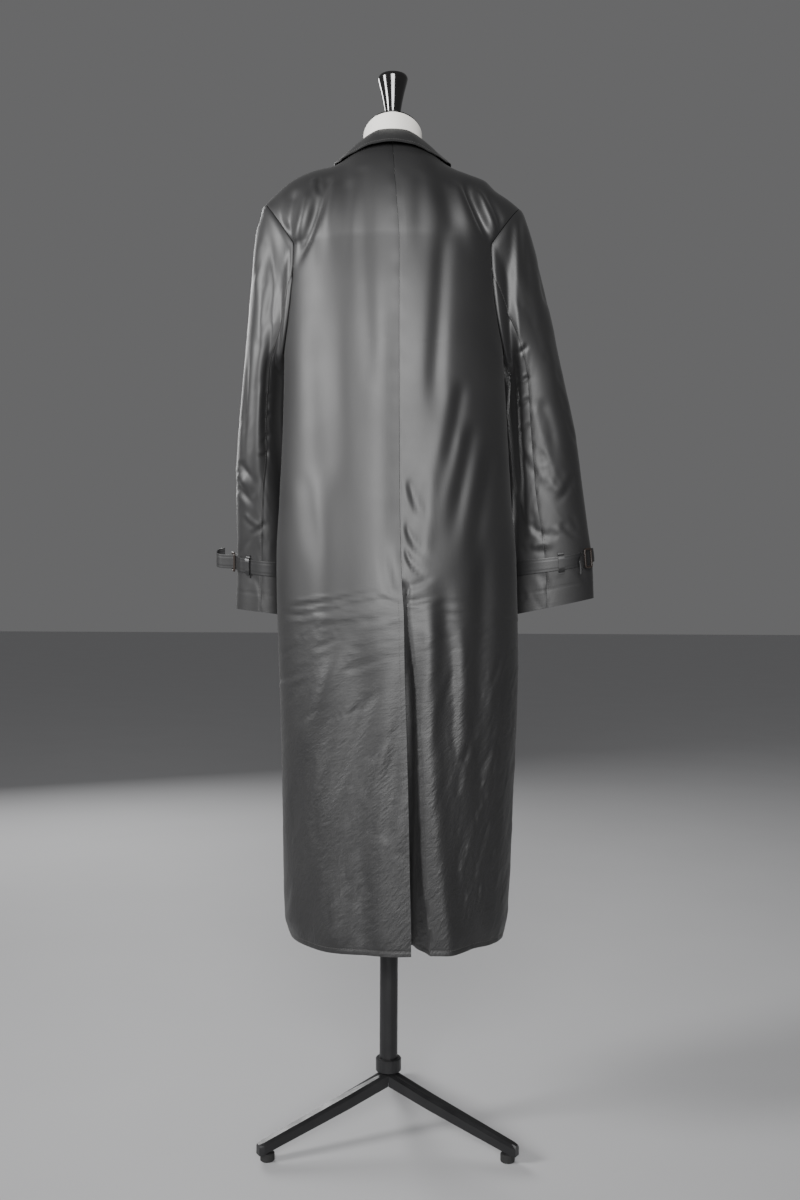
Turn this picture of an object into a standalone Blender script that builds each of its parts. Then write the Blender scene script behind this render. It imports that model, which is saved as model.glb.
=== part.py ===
# Long trench coat on a limbless dress form with a three-legged steel stand.
# Metres, +Z up, floor at z = 0. The coat's back faces +Y and the wearer's left is +X.
# Cloth sections are measured from the stand's pole; the whole is then moved so that the
# middle of its box stands over the origin.

import math

import bmesh
import bpy
import numpy as np
from mathutils import Matrix, Vector

# Where the pole stands, seen from the middle of the whole thing's box
POLE_X = 0.0213
POLE_Y = 0.0376

# Cloth
WALL = 0.0020
SEAM_GAP = 0.0003
HEM_Z = 0.320
UNDERARM_Z = 1.240
BACK_CHEST_Z = 1.400
FRONT_CHEST_Z = 1.370
NECK_HALF = 0.072
NECK_BACK = 0.072
NECK_FRONT = -0.090
NECK_BACK_Z = 1.558
NECK_SIDE_Z = 1.549
NECK_FRONT_Z = 1.470
SHOULDER_HALF = 0.2035
SHOULDER_SEAM_Y = -0.004
NECK_SHARE = NECK_HALF / SHOULDER_HALF
BACK_ARMHOLE_TURN = 26.0
FRONT_ARMHOLE_TURN = 28.0
FRONT_LAP = 0.030
LAP_RISE = WALL + 0.0014

# Vent
VENT_TOP_Z = 0.865
VENT_FULL_Z = 0.840
VENT_UNDERLAP = 0.028
VENT_EDGE_SHARE = 0.07

# Sleeves
SLEEVE_JOIN_Z = 1.200
HEAD_HANDLE = 0.020
CUFF_STRAP_ABOVE_HEM = 0.075
STRAP_WIDTH = 0.024
STRAP_THICK = 0.0018
STRAP_CLEAR = 0.0008
STRAP_CLIMB = 0.012
STRAP_CLIMB_SHARE = 0.14

# Dress form and stand
NECK_CUT_Z = 1.590
NECK_CUT_SLOPE = 0.48
CAP_THICK = 0.003
FORM_BOTTOM_Z = 0.740
POLE_RADIUS = 0.0144
RING_RADIUS = 0.0203
RING_TOP_Z = 0.119
HUB_TOP_Z = 0.0977
FINIAL_TOP_Z = 1.690
LEG_REACH = 0.226
LEG_HUB_WIDTH = 0.026
LEG_FOOT_WIDTH = 0.019
LEG_HUB_BOTTOM_Z = 0.077
LEG_FOOT_TOP_Z = 0.0275
LEG_FOOT_BOTTOM_Z = 0.0115
FOOT_RADIUS = 0.011

BUTTON_RADIUS = 0.0115
BUTTON_THICK = 0.0034


def smooth_curve(xs, ys, x):
    """Smooth curve through the points, with no overshoot between them."""
    xs = np.asarray(xs, float)
    ys = np.asarray(ys, float)
    step = np.diff(xs)
    slope = np.diff(ys) / step
    tangent = np.zeros_like(ys)
    tangent[0] = slope[0]
    tangent[-1] = slope[-1]
    same = slope[:-1] * slope[1:] > 0
    total = np.where(same, slope[:-1] + slope[1:], 1.0)
    tangent[1:-1] = np.where(same, 2 * slope[:-1] * slope[1:] / total, 0.0)
    x = np.clip(np.asarray(x, float), xs[0], xs[-1])
    i = np.clip(np.searchsorted(xs, x) - 1, 0, len(step) - 1)
    t = (x - xs[i]) / step[i]
    return (
        ys[i] * (1 + 2 * t) * (1 - t) ** 2
        + tangent[i] * step[i] * t * (1 - t) ** 2
        + ys[i + 1] * t * t * (3 - 2 * t)
        + tangent[i + 1] * step[i] * t * t * (t - 1)
    )


def ease(start, end, x):
    """0 before start, 1 after end, smooth between; start may be the larger."""
    t = np.clip((np.asarray(x, float) - start) / (end - start), 0.0, 1.0)
    return t * t * (3 - 2 * t)


class Sections:
    """A short table with named columns, read as smooth curves along its first column."""

    def __init__(self, names, rows):
        self.names = names
        self.rows = np.array(sorted(rows), float)

    def __call__(self, name, x):
        return smooth_curve(self.rows[:, 0], self.rows[:, self.names.index(name)], x)


# Coat body: half widths to each side of the pole, depths at the centre lines, where the
# side seam lies front to back, and the line of the centre back seam and the vent's edge
BODY = Sections(
    ("z", "left", "right", "back", "front", "widest", "seam"),
    [
        (0.320, 0.1570, -0.1820, 0.146, -0.140, 0.000, -0.0345),
        (0.352, 0.1672, -0.1890, 0.147, -0.142, 0.000, -0.0340),
        (0.428, 0.1691, -0.1931, 0.147, -0.144, 0.000, -0.0320),
        (0.533, 0.1712, -0.1968, 0.148, -0.146, 0.000, -0.0295),
        (0.639, 0.1734, -0.2013, 0.148, -0.148, 0.004, -0.0262),
        (0.744, 0.1770, -0.2033, 0.149, -0.150, 0.008, -0.0226),
        (0.828, 0.1797, -0.2017, 0.149, -0.150, 0.012, -0.0210),
        (0.865, 0.1805, -0.2003, 0.148, -0.150, 0.014, -0.0184),
        (0.913, 0.1809, -0.1989, 0.147, -0.150, 0.016, -0.0165),
        (1.003, 0.1767, -0.1905, 0.144, -0.149, 0.019, -0.0140),
        (1.140, 0.1710, -0.1820, 0.141, -0.147, 0.020, -0.0128),
        (1.240, 0.1696, -0.1760, 0.140, -0.145, 0.020, -0.0122),
        (1.317, 0.1694, -0.1718, 0.139, -0.142, 0.020, -0.0119),
        (1.400, 0.1690, -0.1705, 0.133, -0.136, 0.020, -0.0112),
    ],
)

# Shoulder line: height at each distance out from the neck
SHOULDER = Sections(
    ("out", "left", "right"),
    [
        (0.0720, 1.5490, 1.5490),
        (0.0907, 1.5380, 1.5370),
        (0.1203, 1.5320, 1.5265),
        (0.1460, 1.5230, 1.5175),
        (0.1643, 1.5130, 1.5010),
        (0.1850, 1.4960, 1.4880),
        (0.2035, 1.4790, 1.4740),
    ],
)

# Vent: where the right panel turns in beside the opening, and how deep its edge goes
VENT = Sections(
    ("z", "turn", "depth"),
    [
        (0.320, -0.0640, 0.066),
        (0.352, -0.0620, 0.062),
        (0.430, -0.0535, 0.046),
        (0.550, -0.0494, 0.030),
        (0.670, -0.0414, 0.020),
        (0.800, -0.0310, 0.013),
        (0.840, -0.0290, 0.010),
        (0.865, -0.0290, 0.0050),
        (0.885, -0.0290, 0.0),
    ],
)

# Large soft folds of the body: a line down the cloth by three points, its half width
# and how far it stands out (+) or in (-), and the face it is on (+1 back, -1 front)
FOLD_NAMES = ("face", "z1", "x1", "z2", "x2", "z3", "x3", "width", "rise")
FOLDS = [
    (1, 1.440, 0.0456, 1.200, 0.0284, 0.880, 0.0010, 0.013, -0.0060),
    (1, 1.433, -0.0805, 1.300, -0.0715, 1.130, -0.0700, 0.012, -0.0060),
    (1, 0.880, -0.0801, 0.740, -0.0785, 0.600, -0.0765, 0.016, -0.0060),
    (1, 0.860, -0.0642, 0.594, -0.0640, 0.325, -0.0900, 0.018, 0.0085),
    (1, 1.495, 0.1120, 1.412, 0.1261, 1.352, 0.1560, 0.008, -0.0055),
    (1, 1.495, 0.0950, 1.437, 0.1073, 1.370, 0.1130, 0.011, -0.0045),
    (1, 1.495, -0.1170, 1.431, -0.1342, 1.395, -0.1560, 0.010, -0.0055),
    (1, 1.050, 0.1050, 0.700, 0.0980, 0.330, 0.0900, 0.026, 0.0040),
    (1, 0.800, 0.0450, 0.560, 0.0400, 0.330, 0.0350, 0.022, -0.0035),
    (1, 0.950, -0.1450, 0.650, -0.1380, 0.330, -0.1350, 0.016, -0.0060),
    (-1, 1.360, 0.0900, 1.100, 0.0820, 0.700, 0.0900, 0.018, -0.0060),
    (-1, 1.330, -0.0950, 1.050, -0.0850, 0.650, -0.0930, 0.020, -0.0065),
    (-1, 0.820, 0.0900, 0.580, 0.0930, 0.330, 0.0980, 0.020, 0.0060),
    (-1, 0.760, -0.0700, 0.540, -0.0640, 0.330, -0.0600, 0.022, 0.0055),
]

# Sleeves: outermost edge, half width, where the middle lies front to back, half depth,
# and the share of the way round (from the outer edge, over the back) of the back seam
SLEEVE_NAMES = ("z", "out", "half", "y", "deep", "seam")
SLEEVE_LEFT = Sections(
    SLEEVE_NAMES,
    [
        (0.822, 0.2620, 0.050, -0.116, 0.052, 0.240),
        (0.900, 0.2590, 0.048, -0.106, 0.056, 0.250),
        (0.961, 0.2580, 0.046, -0.095, 0.062, 0.262),
        (1.028, 0.2578, 0.044, -0.082, 0.068, 0.285),
        (1.100, 0.2535, 0.041, -0.066, 0.072, 0.325),
        (1.200, 0.2425, 0.038, -0.047, 0.073, 0.330),
    ],
)
SLEEVE_RIGHT = Sections(
    SLEEVE_NAMES,
    [
        (0.827, 0.3340, 0.066, -0.060, 0.034, 0.285),
        (0.900, 0.3310, 0.065, -0.058, 0.041, 0.290),
        (0.961, 0.3232, 0.064, -0.056, 0.047, 0.295),
        (1.035, 0.3130, 0.063, -0.052, 0.052, 0.300),
        (1.117, 0.3009, 0.061, -0.045, 0.056, 0.295),
        (1.200, 0.2821, 0.056, -0.036, 0.062, 0.280),
    ],
)
ARMHOLE_CAP_SHARE = 0.42
FRONT_SEAM_SHARE = 0.732
ARMHOLE_SEAM_SHARE = 1 - FRONT_SEAM_SHARE
ARMHOLE_SWING = 0.09

# How far each buckle's middle lies off its strap
BUCKLE_LIFT = {"left": 0.0031, "right": 0.0056}

# How the sleeve of each side hangs: sign of X, table, hem height, rise of the hem's
# outer side, and where the strap's buckle sits round the sleeve
SIDES = {
    "left": (1, SLEEVE_LEFT, 0.8225, 0.012, 0.060),
    "right": (-1, SLEEVE_RIGHT, 0.8270, 0.028, 0.118),
}

# Free tails of the straps past the buckle: along the strap, away from the sleeve, and down.
# The left one curls back on itself, the right one lies down beside the strap.
TAILS = {
    "left": [
        (0.0008, 0.0030, 0.0000),
        (0.0014, 0.0080, 0.0000),
        (0.0024, 0.0160, -0.0005),
        (0.0038, 0.0245, -0.0015),
        (0.0066, 0.0290, -0.0035),
        (0.0100, 0.0275, -0.0065),
        (0.0116, 0.0220, -0.0090),
        (0.0118, 0.0140, -0.0105),
    ],
    "right": [
        (0.004, 0.0006, 0.0000),
        (0.009, 0.0018, 0.0008),
        (0.014, 0.0040, 0.0028),
        (0.018, 0.0066, 0.0062),
        (0.021, 0.0088, 0.0100),
    ],
}

# Collar: heights and distances of the roll and of the leaf's edge, by degrees round
# the neck from the centre back
COLLAR_END = 173.0
COLLAR_ROLL_HALF = 0.0515
COLLAR_ROLL_BACK = 0.057
COLLAR_ROLL_FRONT = -0.074
COLLAR = Sections(
    ("turn", "roll_z", "edge_x", "edge_y", "edge_z"),
    [
        (-20.0, 1.5768, -0.0330, 0.0990, 1.5440),
        (0.0, 1.5770, 0.0000, 0.1050, 1.5468),
        (20.0, 1.5768, 0.0330, 0.0990, 1.5440),
        (40.0, 1.5730, 0.0600, 0.0800, 1.5380),
        (60.0, 1.5680, 0.0805, 0.0540, 1.5355),
        (90.0, 1.5640, 0.0935, 0.0000, 1.5450),
        (115.0, 1.5600, 0.0900, -0.0450, 1.5310),
        (140.0, 1.5410, 0.0765, -0.0930, 1.4990),
        (160.0, 1.5130, 0.0600, -0.1260, 1.4620),
        (173.0, 1.4990, 0.0500, -0.1400, 1.4330),
    ],
)
COLLAR_THICK = 0.0020
COLLAR_ROLL_RADIUS = 0.0042

# Dress form: half width, depths to the back and front, and how full its section is
# (1 an ellipse, less a lozenge)
FORM = Sections(
    ("z", "half", "back", "front", "full"),
    [
        (0.740, 0.150, 0.098, -0.098, 1.0),
        (0.860, 0.164, 0.112, -0.108, 1.0),
        (1.040, 0.127, 0.086, -0.092, 1.0),
        (1.240, 0.146, 0.100, -0.116, 1.0),
        (1.360, 0.152, 0.100, -0.100, 1.0),
        (1.440, 0.156, 0.086, -0.076, 1.0),
        (1.480, 0.155, 0.074, -0.062, 0.95),
        (1.5050, 0.148, 0.066, -0.054, 0.85),
        (1.5218, 0.126, 0.059, -0.050, 0.72),
        (1.5290, 0.090, 0.054, -0.0480, 0.75),
        (1.5420, 0.058, 0.0490, -0.0470, 0.90),
        (1.5620, 0.0475, 0.0475, -0.0465, 1.0),
        (1.700, 0.0462, 0.0470, -0.0465, 1.0),
    ],
)


def body_ring(z, turn, face):
    """Point of the coat at height z, turned from the centre line, + to the left."""
    left = BODY("left", z)
    right = BODY("right", z)
    widest = BODY("widest", z)
    depth = BODY("back", z) if face > 0 else BODY("front", z)
    angle = np.radians(turn)
    x = (left + right) / 2 + (left - right) / 2 * np.sin(angle)
    y = widest + (depth - widest) * np.cos(angle)
    return x, y


def seam_turn(z, line):
    """Turn at which the ring at height z has x = line."""
    left = BODY("left", z)
    right = BODY("right", z)
    share = (line - (left + right) / 2) / ((left - right) / 2)
    return np.degrees(np.arcsin(np.clip(share, -1, 1)))


def top_edge(u, side, face):
    """Neckline, then shoulder seam, at share u of the way from the centre to the tip."""
    out = SHOULDER_HALF * np.abs(u)
    in_neck = np.clip(out / NECK_HALF, 0, 1)
    hollow = np.sqrt(1 - in_neck**2)
    if face > 0:
        neck_y = NECK_BACK * hollow
        neck_z = NECK_SIDE_Z + (NECK_BACK_Z - NECK_SIDE_Z) * hollow**2
    else:
        neck_y = NECK_FRONT * hollow
        neck_z = NECK_SIDE_Z + (NECK_FRONT_Z - NECK_SIDE_Z) * hollow**2
    crest = SHOULDER("left" if side > 0 else "right", np.clip(out, NECK_HALF, None))
    seam_y = SHOULDER_SEAM_Y * (out - NECK_HALF) / (SHOULDER_HALF - NECK_HALF)
    on_shoulder = out > NECK_HALF
    y = np.where(on_shoulder, seam_y, neck_y) + face * SEAM_GAP / 2
    z = np.where(on_shoulder, crest, neck_z)
    return side * SHOULDER_HALF * u, y, z


def panel_base(rise, u, side, face):
    """Smooth form of a body panel. rise: 0 hem, 1 underarm, 2 chest, 3 neck and shoulder.
    u: 0 at the centre line, 1 at the side seam and armhole."""
    rise, u = np.broadcast_arrays(np.asarray(rise, float), np.asarray(u, float))
    chest = BACK_CHEST_Z if face > 0 else FRONT_CHEST_Z
    cut = BACK_ARMHOLE_TURN if face > 0 else FRONT_ARMHOLE_TURN
    armhole = np.radians(90 * np.clip(2 - rise, 0, 1))
    low = HEM_Z + np.clip(rise, -1, 1) * (UNDERARM_Z - HEM_Z)
    high = UNDERARM_Z + (chest - UNDERARM_Z) * (1 - np.sin(armhole))
    z = np.where(rise <= 1, low, high)
    end = side * np.where(rise <= 1, 90.0, 90.0 - cut * np.cos(armhole))
    middle = seam_turn(z, BODY("seam", z) if face > 0 else 0.0)
    turn = middle + u * (end - middle)
    if face > 0 and side < 0:
        turn = np.where(rise <= 1.0, vent_turn(z, u, middle, turn), turn)
    x, y = body_ring(z, turn, face)
    if face > 0 and side < 0:
        x, y = vent_fold(x, y, z, u)
    top_x, top_y, top_z = top_edge(u, side, face)
    neck_angle = 78.0 if face > 0 else 56.0
    arc = np.radians(neck_angle + (90 - neck_angle) * np.clip(np.abs(u) / NECK_SHARE, 0, 1))
    w = np.clip(rise - 2, 0, 1.1)
    inward = (np.cos(w * arc) - np.cos(arc)) / (1 - np.cos(arc))
    upward = np.sin(w * arc) / np.sin(arc)
    cap = rise > 2
    x = np.where(cap, x + (top_x - x) * np.sin(w * np.pi / 2), x)
    y = np.where(cap, top_y + (y - top_y) * inward, y)
    z = np.where(cap, z + (top_z - z) * upward, z)
    return np.stack([x, y, z], axis=-1)


def vent_turn(z, u, middle, plain):
    """Below the vent's top the right panel runs from where it turns in to the side."""
    fold = seam_turn(z, VENT("turn", z))
    share = np.clip((u - VENT_EDGE_SHARE) / (1 - VENT_EDGE_SHARE), 0, None)
    opened = np.where(u < VENT_EDGE_SHARE, fold, fold + share * (-90.0 - fold))
    edge = middle + (1 - np.clip(1 - u / VENT_EDGE_SHARE, 0, 1)) * (fold - middle)
    opened = np.where(u < VENT_EDGE_SHARE, edge, opened)
    return plain + (opened - plain) * ease(0.96, 0.885, z)


def vent_fold(x, y, z, u):
    """The right panel's edge turns in, and passes under the left panel as an underlap."""
    inside = np.clip(1 - u / VENT_EDGE_SHARE, 0, 1.3)
    reach = VENT_UNDERLAP * np.clip((VENT_TOP_Z - z) / (VENT_TOP_Z - VENT_FULL_Z), 0, 1)
    depth = VENT("depth", z) * ease(0.885, 0.870, z)
    x = x + reach * inside
    y = y - depth * (1 - (1 - np.clip(inside, 0, 1)) ** 2)
    return x, y


def fold_rise(points, face):
    """How far the large folds move each point of a body panel along its normal."""
    x = points[..., 0]
    z = points[..., 2]
    total = np.zeros_like(x)
    for row in FOLDS:
        fold = dict(zip(FOLD_NAMES, row))
        if fold["face"] != face:
            continue
        heights = (fold["z3"], fold["z2"], fold["z1"])
        line = smooth_curve(heights, (fold["x3"], fold["x2"], fold["x1"]), z)
        across = np.exp(-(((x - line) / fold["width"]) ** 2))
        length = fold["z1"] - fold["z3"]
        fade = min(0.07, 0.45 * length)
        to_hem = 1.0 if fold["z3"] < HEM_Z + 0.02 else ease(fold["z3"] - 0.02, fold["z3"] + fade, z)
        along = ease(fold["z1"] + 0.02, fold["z1"] - fade, z) * to_hem
        total = total + fold["rise"] * across * along
    return total


def facing_of(shape, a, b, step):
    """Unit normals of the surface shape(a, b), from points a small step apart."""
    along_a = shape(a + step, b) - shape(a - step, b)
    along_b = shape(a, b + step) - shape(a, b - step)
    cross = np.cross(along_a, along_b)
    return cross / np.maximum(np.linalg.norm(cross, axis=-1, keepdims=True), 1e-12)


def normals(points):
    """Unit normals of a grid of points, halfway between the steps that meet at each."""
    tangents = []
    for axis in (0, 1):
        step = np.diff(points, axis=axis)
        step = step / np.maximum(np.linalg.norm(step, axis=-1, keepdims=True), 1e-12)
        first = np.take(step, [0], axis=axis)
        last = np.take(step, [-1], axis=axis)
        before = np.concatenate((first, step), axis=axis)
        after = np.concatenate((step, last), axis=axis)
        tangents.append(before + after)
    cross = np.cross(tangents[0], tangents[1])
    return cross / np.maximum(np.linalg.norm(cross, axis=-1, keepdims=True), 1e-12)


def panel_points(rise, u, side, face, lap_rise=0.0):
    """Outer points and outward normals of a body panel, folds included."""
    step = 0.003

    def plain(r, v):
        return panel_base(r, v, side, face)

    def outward(shape, r, v):
        beside_neck = (np.abs(v - NECK_SHARE) < 1.5 * step) & (r > 2)
        facing = facing_of(shape, r, np.where(beside_neck, NECK_SHARE + 1.5 * step, v), step)
        return facing * face * side

    def folded(r, v):
        base = plain(r, v)
        facing = outward(plain, r, v)
        inside = (1 - ease(0.80, 0.97, np.abs(v))) * (1 - ease(2.80, 2.97, r))
        over = lap_rise * (1 - ease(0.20, 0.345, v))
        return base + facing * (fold_rise(base, face) * inside + over)[..., None]

    r, v = np.meshgrid(rise, u, indexing="ij")
    facing = outward(folded, r, v)
    on_seam = (r > 3 - 1e-6) & (np.abs(v) > NECK_SHARE - 1e-6)
    facing[..., 1] = np.where(on_seam, 0.0, facing[..., 1])
    return folded(r, v), facing / np.linalg.norm(facing, axis=-1, keepdims=True)


def armhole_point(share, side):
    """Edge of the armhole: share 0 at the shoulder tip, over the back to the underarm
    at 0.5, and up the front again to 1."""
    share = np.asarray(share, float) % 1.0
    face_share = np.where(share <= 0.5, share, 1 - share) / 0.5
    cap_part = ARMHOLE_CAP_SHARE
    w = np.clip(1 - face_share / cap_part, 0, 1)
    around = np.clip((face_share - cap_part) / (1 - cap_part), 0, 1)
    rise = np.where(face_share < cap_part, 2 + w, 2 - around)
    back = panel_base(rise, np.ones_like(rise), side, 1)
    front = panel_base(rise, np.ones_like(rise), side, -1)
    return np.where((share <= 0.5)[..., None], back, front)


def sleeve_ring(z, share, side, table, tilt):
    """Point of the hanging sleeve's section at height z."""
    angle = 2 * np.pi * share
    half = table("half", z)
    x = table("out", z) - half + half * np.cos(angle)
    y = table("y", z) + table("deep", z) * np.sin(angle)
    outer = (1 + np.cos(angle)) / 2
    return np.stack([side * x, y, z + tilt * outer], axis=-1)


def sleeve_base(down, share, name):
    """Smooth form of a sleeve. down: 0 at the armhole, 1 at the join, 2 at the hem."""
    side, table, hem, tilt, _ = SIDES[name]
    down, share = np.broadcast_arrays(np.asarray(down, float), np.asarray(share, float))
    t = np.clip(down, 0, 1)[..., None]
    start = armhole_point(share + ARMHOLE_SWING * np.sin(np.pi * share) ** 2, side)
    angle = 2 * np.pi * share
    under = (1 - np.cos(angle)) / 2
    leave = np.stack(
        [side * (0.80 - 0.30 * under), 0.22 * np.sin(angle) - 0.30 * under, -0.58 - 0.22 * under],
        axis=-1,
    )
    leave /= np.linalg.norm(leave, axis=-1, keepdims=True)
    start = start + leave * 0.0006
    join = sleeve_ring(SLEEVE_JOIN_Z + 0 * share, share, side, table, 0)
    below = sleeve_ring(SLEEVE_JOIN_Z - 0.02 + 0 * share, share, side, table, 0)
    arrive = below - join
    arrive /= np.linalg.norm(arrive, axis=-1, keepdims=True)
    span = np.linalg.norm(join - start, axis=-1, keepdims=True)
    first = start + leave * (HEAD_HANDLE - 0.010 * under)[..., None]
    second = join - arrive * 0.36 * span
    head = (
        start * (1 - t) ** 3
        + 3 * first * t * (1 - t) ** 2
        + 3 * second * t * t * (1 - t)
        + join * t**3
    )
    lower = np.clip(down - 1, 0, 1.02)
    z = SLEEVE_JOIN_Z + (hem - SLEEVE_JOIN_Z) * lower
    tube = sleeve_ring(z, share, side, table, tilt * lower**3)
    points = np.where((down <= 1)[..., None], head, tube)
    points[..., 0] += side * clear_of_body(points, side)
    return points


def clear_of_body(points, side):
    """How far out a sleeve point moves so that it lies beside the coat's body."""
    z = np.clip(points[..., 2], HEM_Z, UNDERARM_Z + 0.001)
    y = points[..., 1]
    left = BODY("left", z)
    right = BODY("right", z)
    widest = BODY("widest", z)
    depth = np.where(y > widest, BODY("back", z) - widest, widest - BODY("front", z))
    across = np.sqrt(np.clip(1 - ((y - widest) / depth) ** 2, 0, 1))
    surface = side * (left + right) / 2 + (left - right) / 2 * across
    clear = 0.0016 + 0.0014 * ease(UNDERARM_Z, UNDERARM_Z - 0.025, points[..., 2])
    need = surface + clear - side * points[..., 0]
    below = ease(UNDERARM_Z + 0.010, UNDERARM_Z - 0.002, points[..., 2])
    return np.clip(need, 0, None) * below


def from_armhole(place):
    """Share of the way round the sleeve that meets a share of the way round the armhole."""
    share = np.asarray(place, float)
    for _ in range(30):
        share = place - ARMHOLE_SWING * np.sin(np.pi * share) ** 2
    return share


def seam_share(down, name):
    """Share of the way round at which the sleeve's back seam lies, from the join down."""
    _, table, hem, _, _ = SIDES[name]
    return table("seam", SLEEVE_JOIN_Z + (hem - SLEEVE_JOIN_Z) * np.clip(down - 1, 0, 1))


def sleeve_points(down, share, name):
    """Outer points and outward normals of a sleeve piece."""
    side = SIDES[name][0]

    def shape(d, s):
        return sleeve_base(np.maximum(d, 0), s, name)

    return shape(down, share), facing_of(shape, down, share, 0.003) * side


# Building

collection = bpy.data.collections.new("Trench coat on dress form")
cutters = bpy.data.collections.new("Cutters")


def clear_scene():
    for thing in list(bpy.data.objects):
        bpy.data.objects.remove(thing, do_unlink=True)


def material(name, colour, roughness, metallic=0.0):
    mat = bpy.data.materials.new(name)
    mat.use_nodes = True
    shader = mat.node_tree.nodes["Principled BSDF"]
    shader.inputs["Base Color"].default_value = (*colour, 1.0)
    shader.inputs["Roughness"].default_value = roughness
    shader.inputs["Metallic"].default_value = metallic
    return mat


def add(name, mesh, mat, parent, sharp=40.0):
    thing = bpy.data.objects.new(name, mesh)
    collection.objects.link(thing)
    mesh.materials.clear()
    mesh.materials.append(mat)
    mesh.shade_smooth()
    mesh.set_sharp_from_angle(angle=math.radians(sharp))
    thing.parent = parent
    return thing


def cloth_wall(name, outer, outward, thick, mat, parent):
    """A closed wall between a grid of points and the same grid moved in along its normals."""
    inner = outer - outward * thick
    rows, columns = outer.shape[:2]
    points = np.concatenate((outer.reshape(-1, 3), inner.reshape(-1, 3)))
    back = rows * columns

    def at(i, j, layer=0):
        return layer * back + i * columns + j

    faces = []
    for i in range(rows - 1):
        for j in range(columns - 1):
            ring = [at(i, j), at(i, j + 1), at(i + 1, j + 1), at(i + 1, j)]
            faces.append(ring)
            faces.append([point + back for point in reversed(ring)])
    rim = [(0, j) for j in range(columns)] + [(i, columns - 1) for i in range(1, rows)]
    rim += [(rows - 1, j) for j in range(columns - 2, -1, -1)]
    rim += [(i, 0) for i in range(rows - 2, 0, -1)]
    for pair in zip(rim, rim[1:] + rim[:1]):
        here, there = sorted(pair)
        faces.append([at(*here), at(*there), at(*there, 1)])
        faces.append([at(*here), at(*there, 1), at(*here, 1)])
    mesh = bpy.data.meshes.new(name)
    mesh.from_pydata([tuple(point) for point in points], [], faces)
    face_outward(mesh)
    return add(name, mesh, mat, parent)


def face_outward(mesh):
    shape = bmesh.new()
    shape.from_mesh(mesh)
    bmesh.ops.recalc_face_normals(shape, faces=shape.faces)
    if shape.calc_volume(signed=True) < 0:
        bmesh.ops.reverse_faces(shape, faces=shape.faces)
    shape.to_mesh(mesh)
    shape.free()


def loft(name, rings, mat, parent, sharp=40.0):
    """A closed solid through rings of points, with flat ends."""
    count = len(rings[0])
    points = [tuple(point) for ring in rings for point in ring]
    faces = [list(range(count)), list(range(len(points) - count, len(points)))]
    for i in range(len(rings) - 1):
        for j in range(count):
            here = i * count + j
            there = i * count + (j + 1) % count
            faces.append([here, there, there + count, here + count])
    mesh = bpy.data.meshes.new(name)
    mesh.from_pydata(points, [], faces)
    face_outward(mesh)
    return add(name, mesh, mat, parent, sharp)


def turned(name, profile, mat, parent, steps=32, closed=False):
    """A profile of (radius, height) points, top to bottom, turned about Z."""
    mesh = bpy.data.meshes.new(name)
    edges = [(i, i + 1) for i in range(len(profile) - 1)]
    if closed:
        edges.append((len(profile) - 1, 0))
    mesh.from_pydata([(radius, 0.0, z) for radius, z in profile], edges, [])
    thing = bpy.data.objects.new(name, mesh)
    collection.objects.link(thing)
    mesh.materials.append(mat)
    thing.parent = parent
    screw = thing.modifiers.new("Turn", "SCREW")
    screw.axis = "Z"
    screw.steps = steps
    screw.render_steps = steps
    screw.use_merge_vertices = True
    screw.merge_threshold = 0.0001
    screw.use_smooth_shade = True
    return thing


# Rows of the body panels above the underarm, which the sleeves' columns meet
ARMHOLE_ROWS = np.linspace(0, 1, 6)
CAP_ROWS = np.linspace(0, 1, 7)


def panel_rows(face):
    """Rows from the hem up, closer at the vent's top on the back."""
    heights = [0.320, 0.352, 0.40, 0.46, 0.53, 0.60, 0.67, 0.74, 0.80, 0.840]
    upper = [0.8655, 0.886, 0.93, 1.00, 1.06, 1.12, 1.18] if face > 0 else [0.90, 0.97, 1.04, 1.11, 1.18]
    below = (np.array(heights + upper) - HEM_Z) / (UNDERARM_Z - HEM_Z)
    return np.concatenate((below, 1 + ARMHOLE_ROWS[:-1], 2 + CAP_ROWS))


def body_panels(cloth, parent):
    around = np.radians([0, 17, 34, 50, 66, 90])
    neck_columns = NECK_SHARE * np.sin(around)
    rest = np.linspace(NECK_SHARE, 1 - 0.0007, 10)[1:]
    plain = np.concatenate((neck_columns, rest))
    lap = FRONT_LAP / SHOULDER_HALF
    for side, word in ((1, "left"), (-1, "right")):
        columns = plain.copy()
        columns[0] = 0.0009
        if side < 0:
            turned_in = VENT_EDGE_SHARE * np.array([0.013, 0.25, 0.5, 0.75, 1.0])
            columns = np.concatenate((turned_in, columns[columns > VENT_EDGE_SHARE + 0.01]))
        outer, outward = panel_points(panel_rows(1), columns, side, 1)
        cloth_wall("back_" + word, outer, outward, WALL, cloth, parent)
        columns = np.concatenate((np.linspace(-lap, 0, 4)[:-1], plain))
        outer, outward = panel_points(panel_rows(-1), columns, side, -1, LAP_RISE if side > 0 else 0.0)
        cloth_wall("front_" + word, outer, outward, WALL, cloth, parent)


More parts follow.
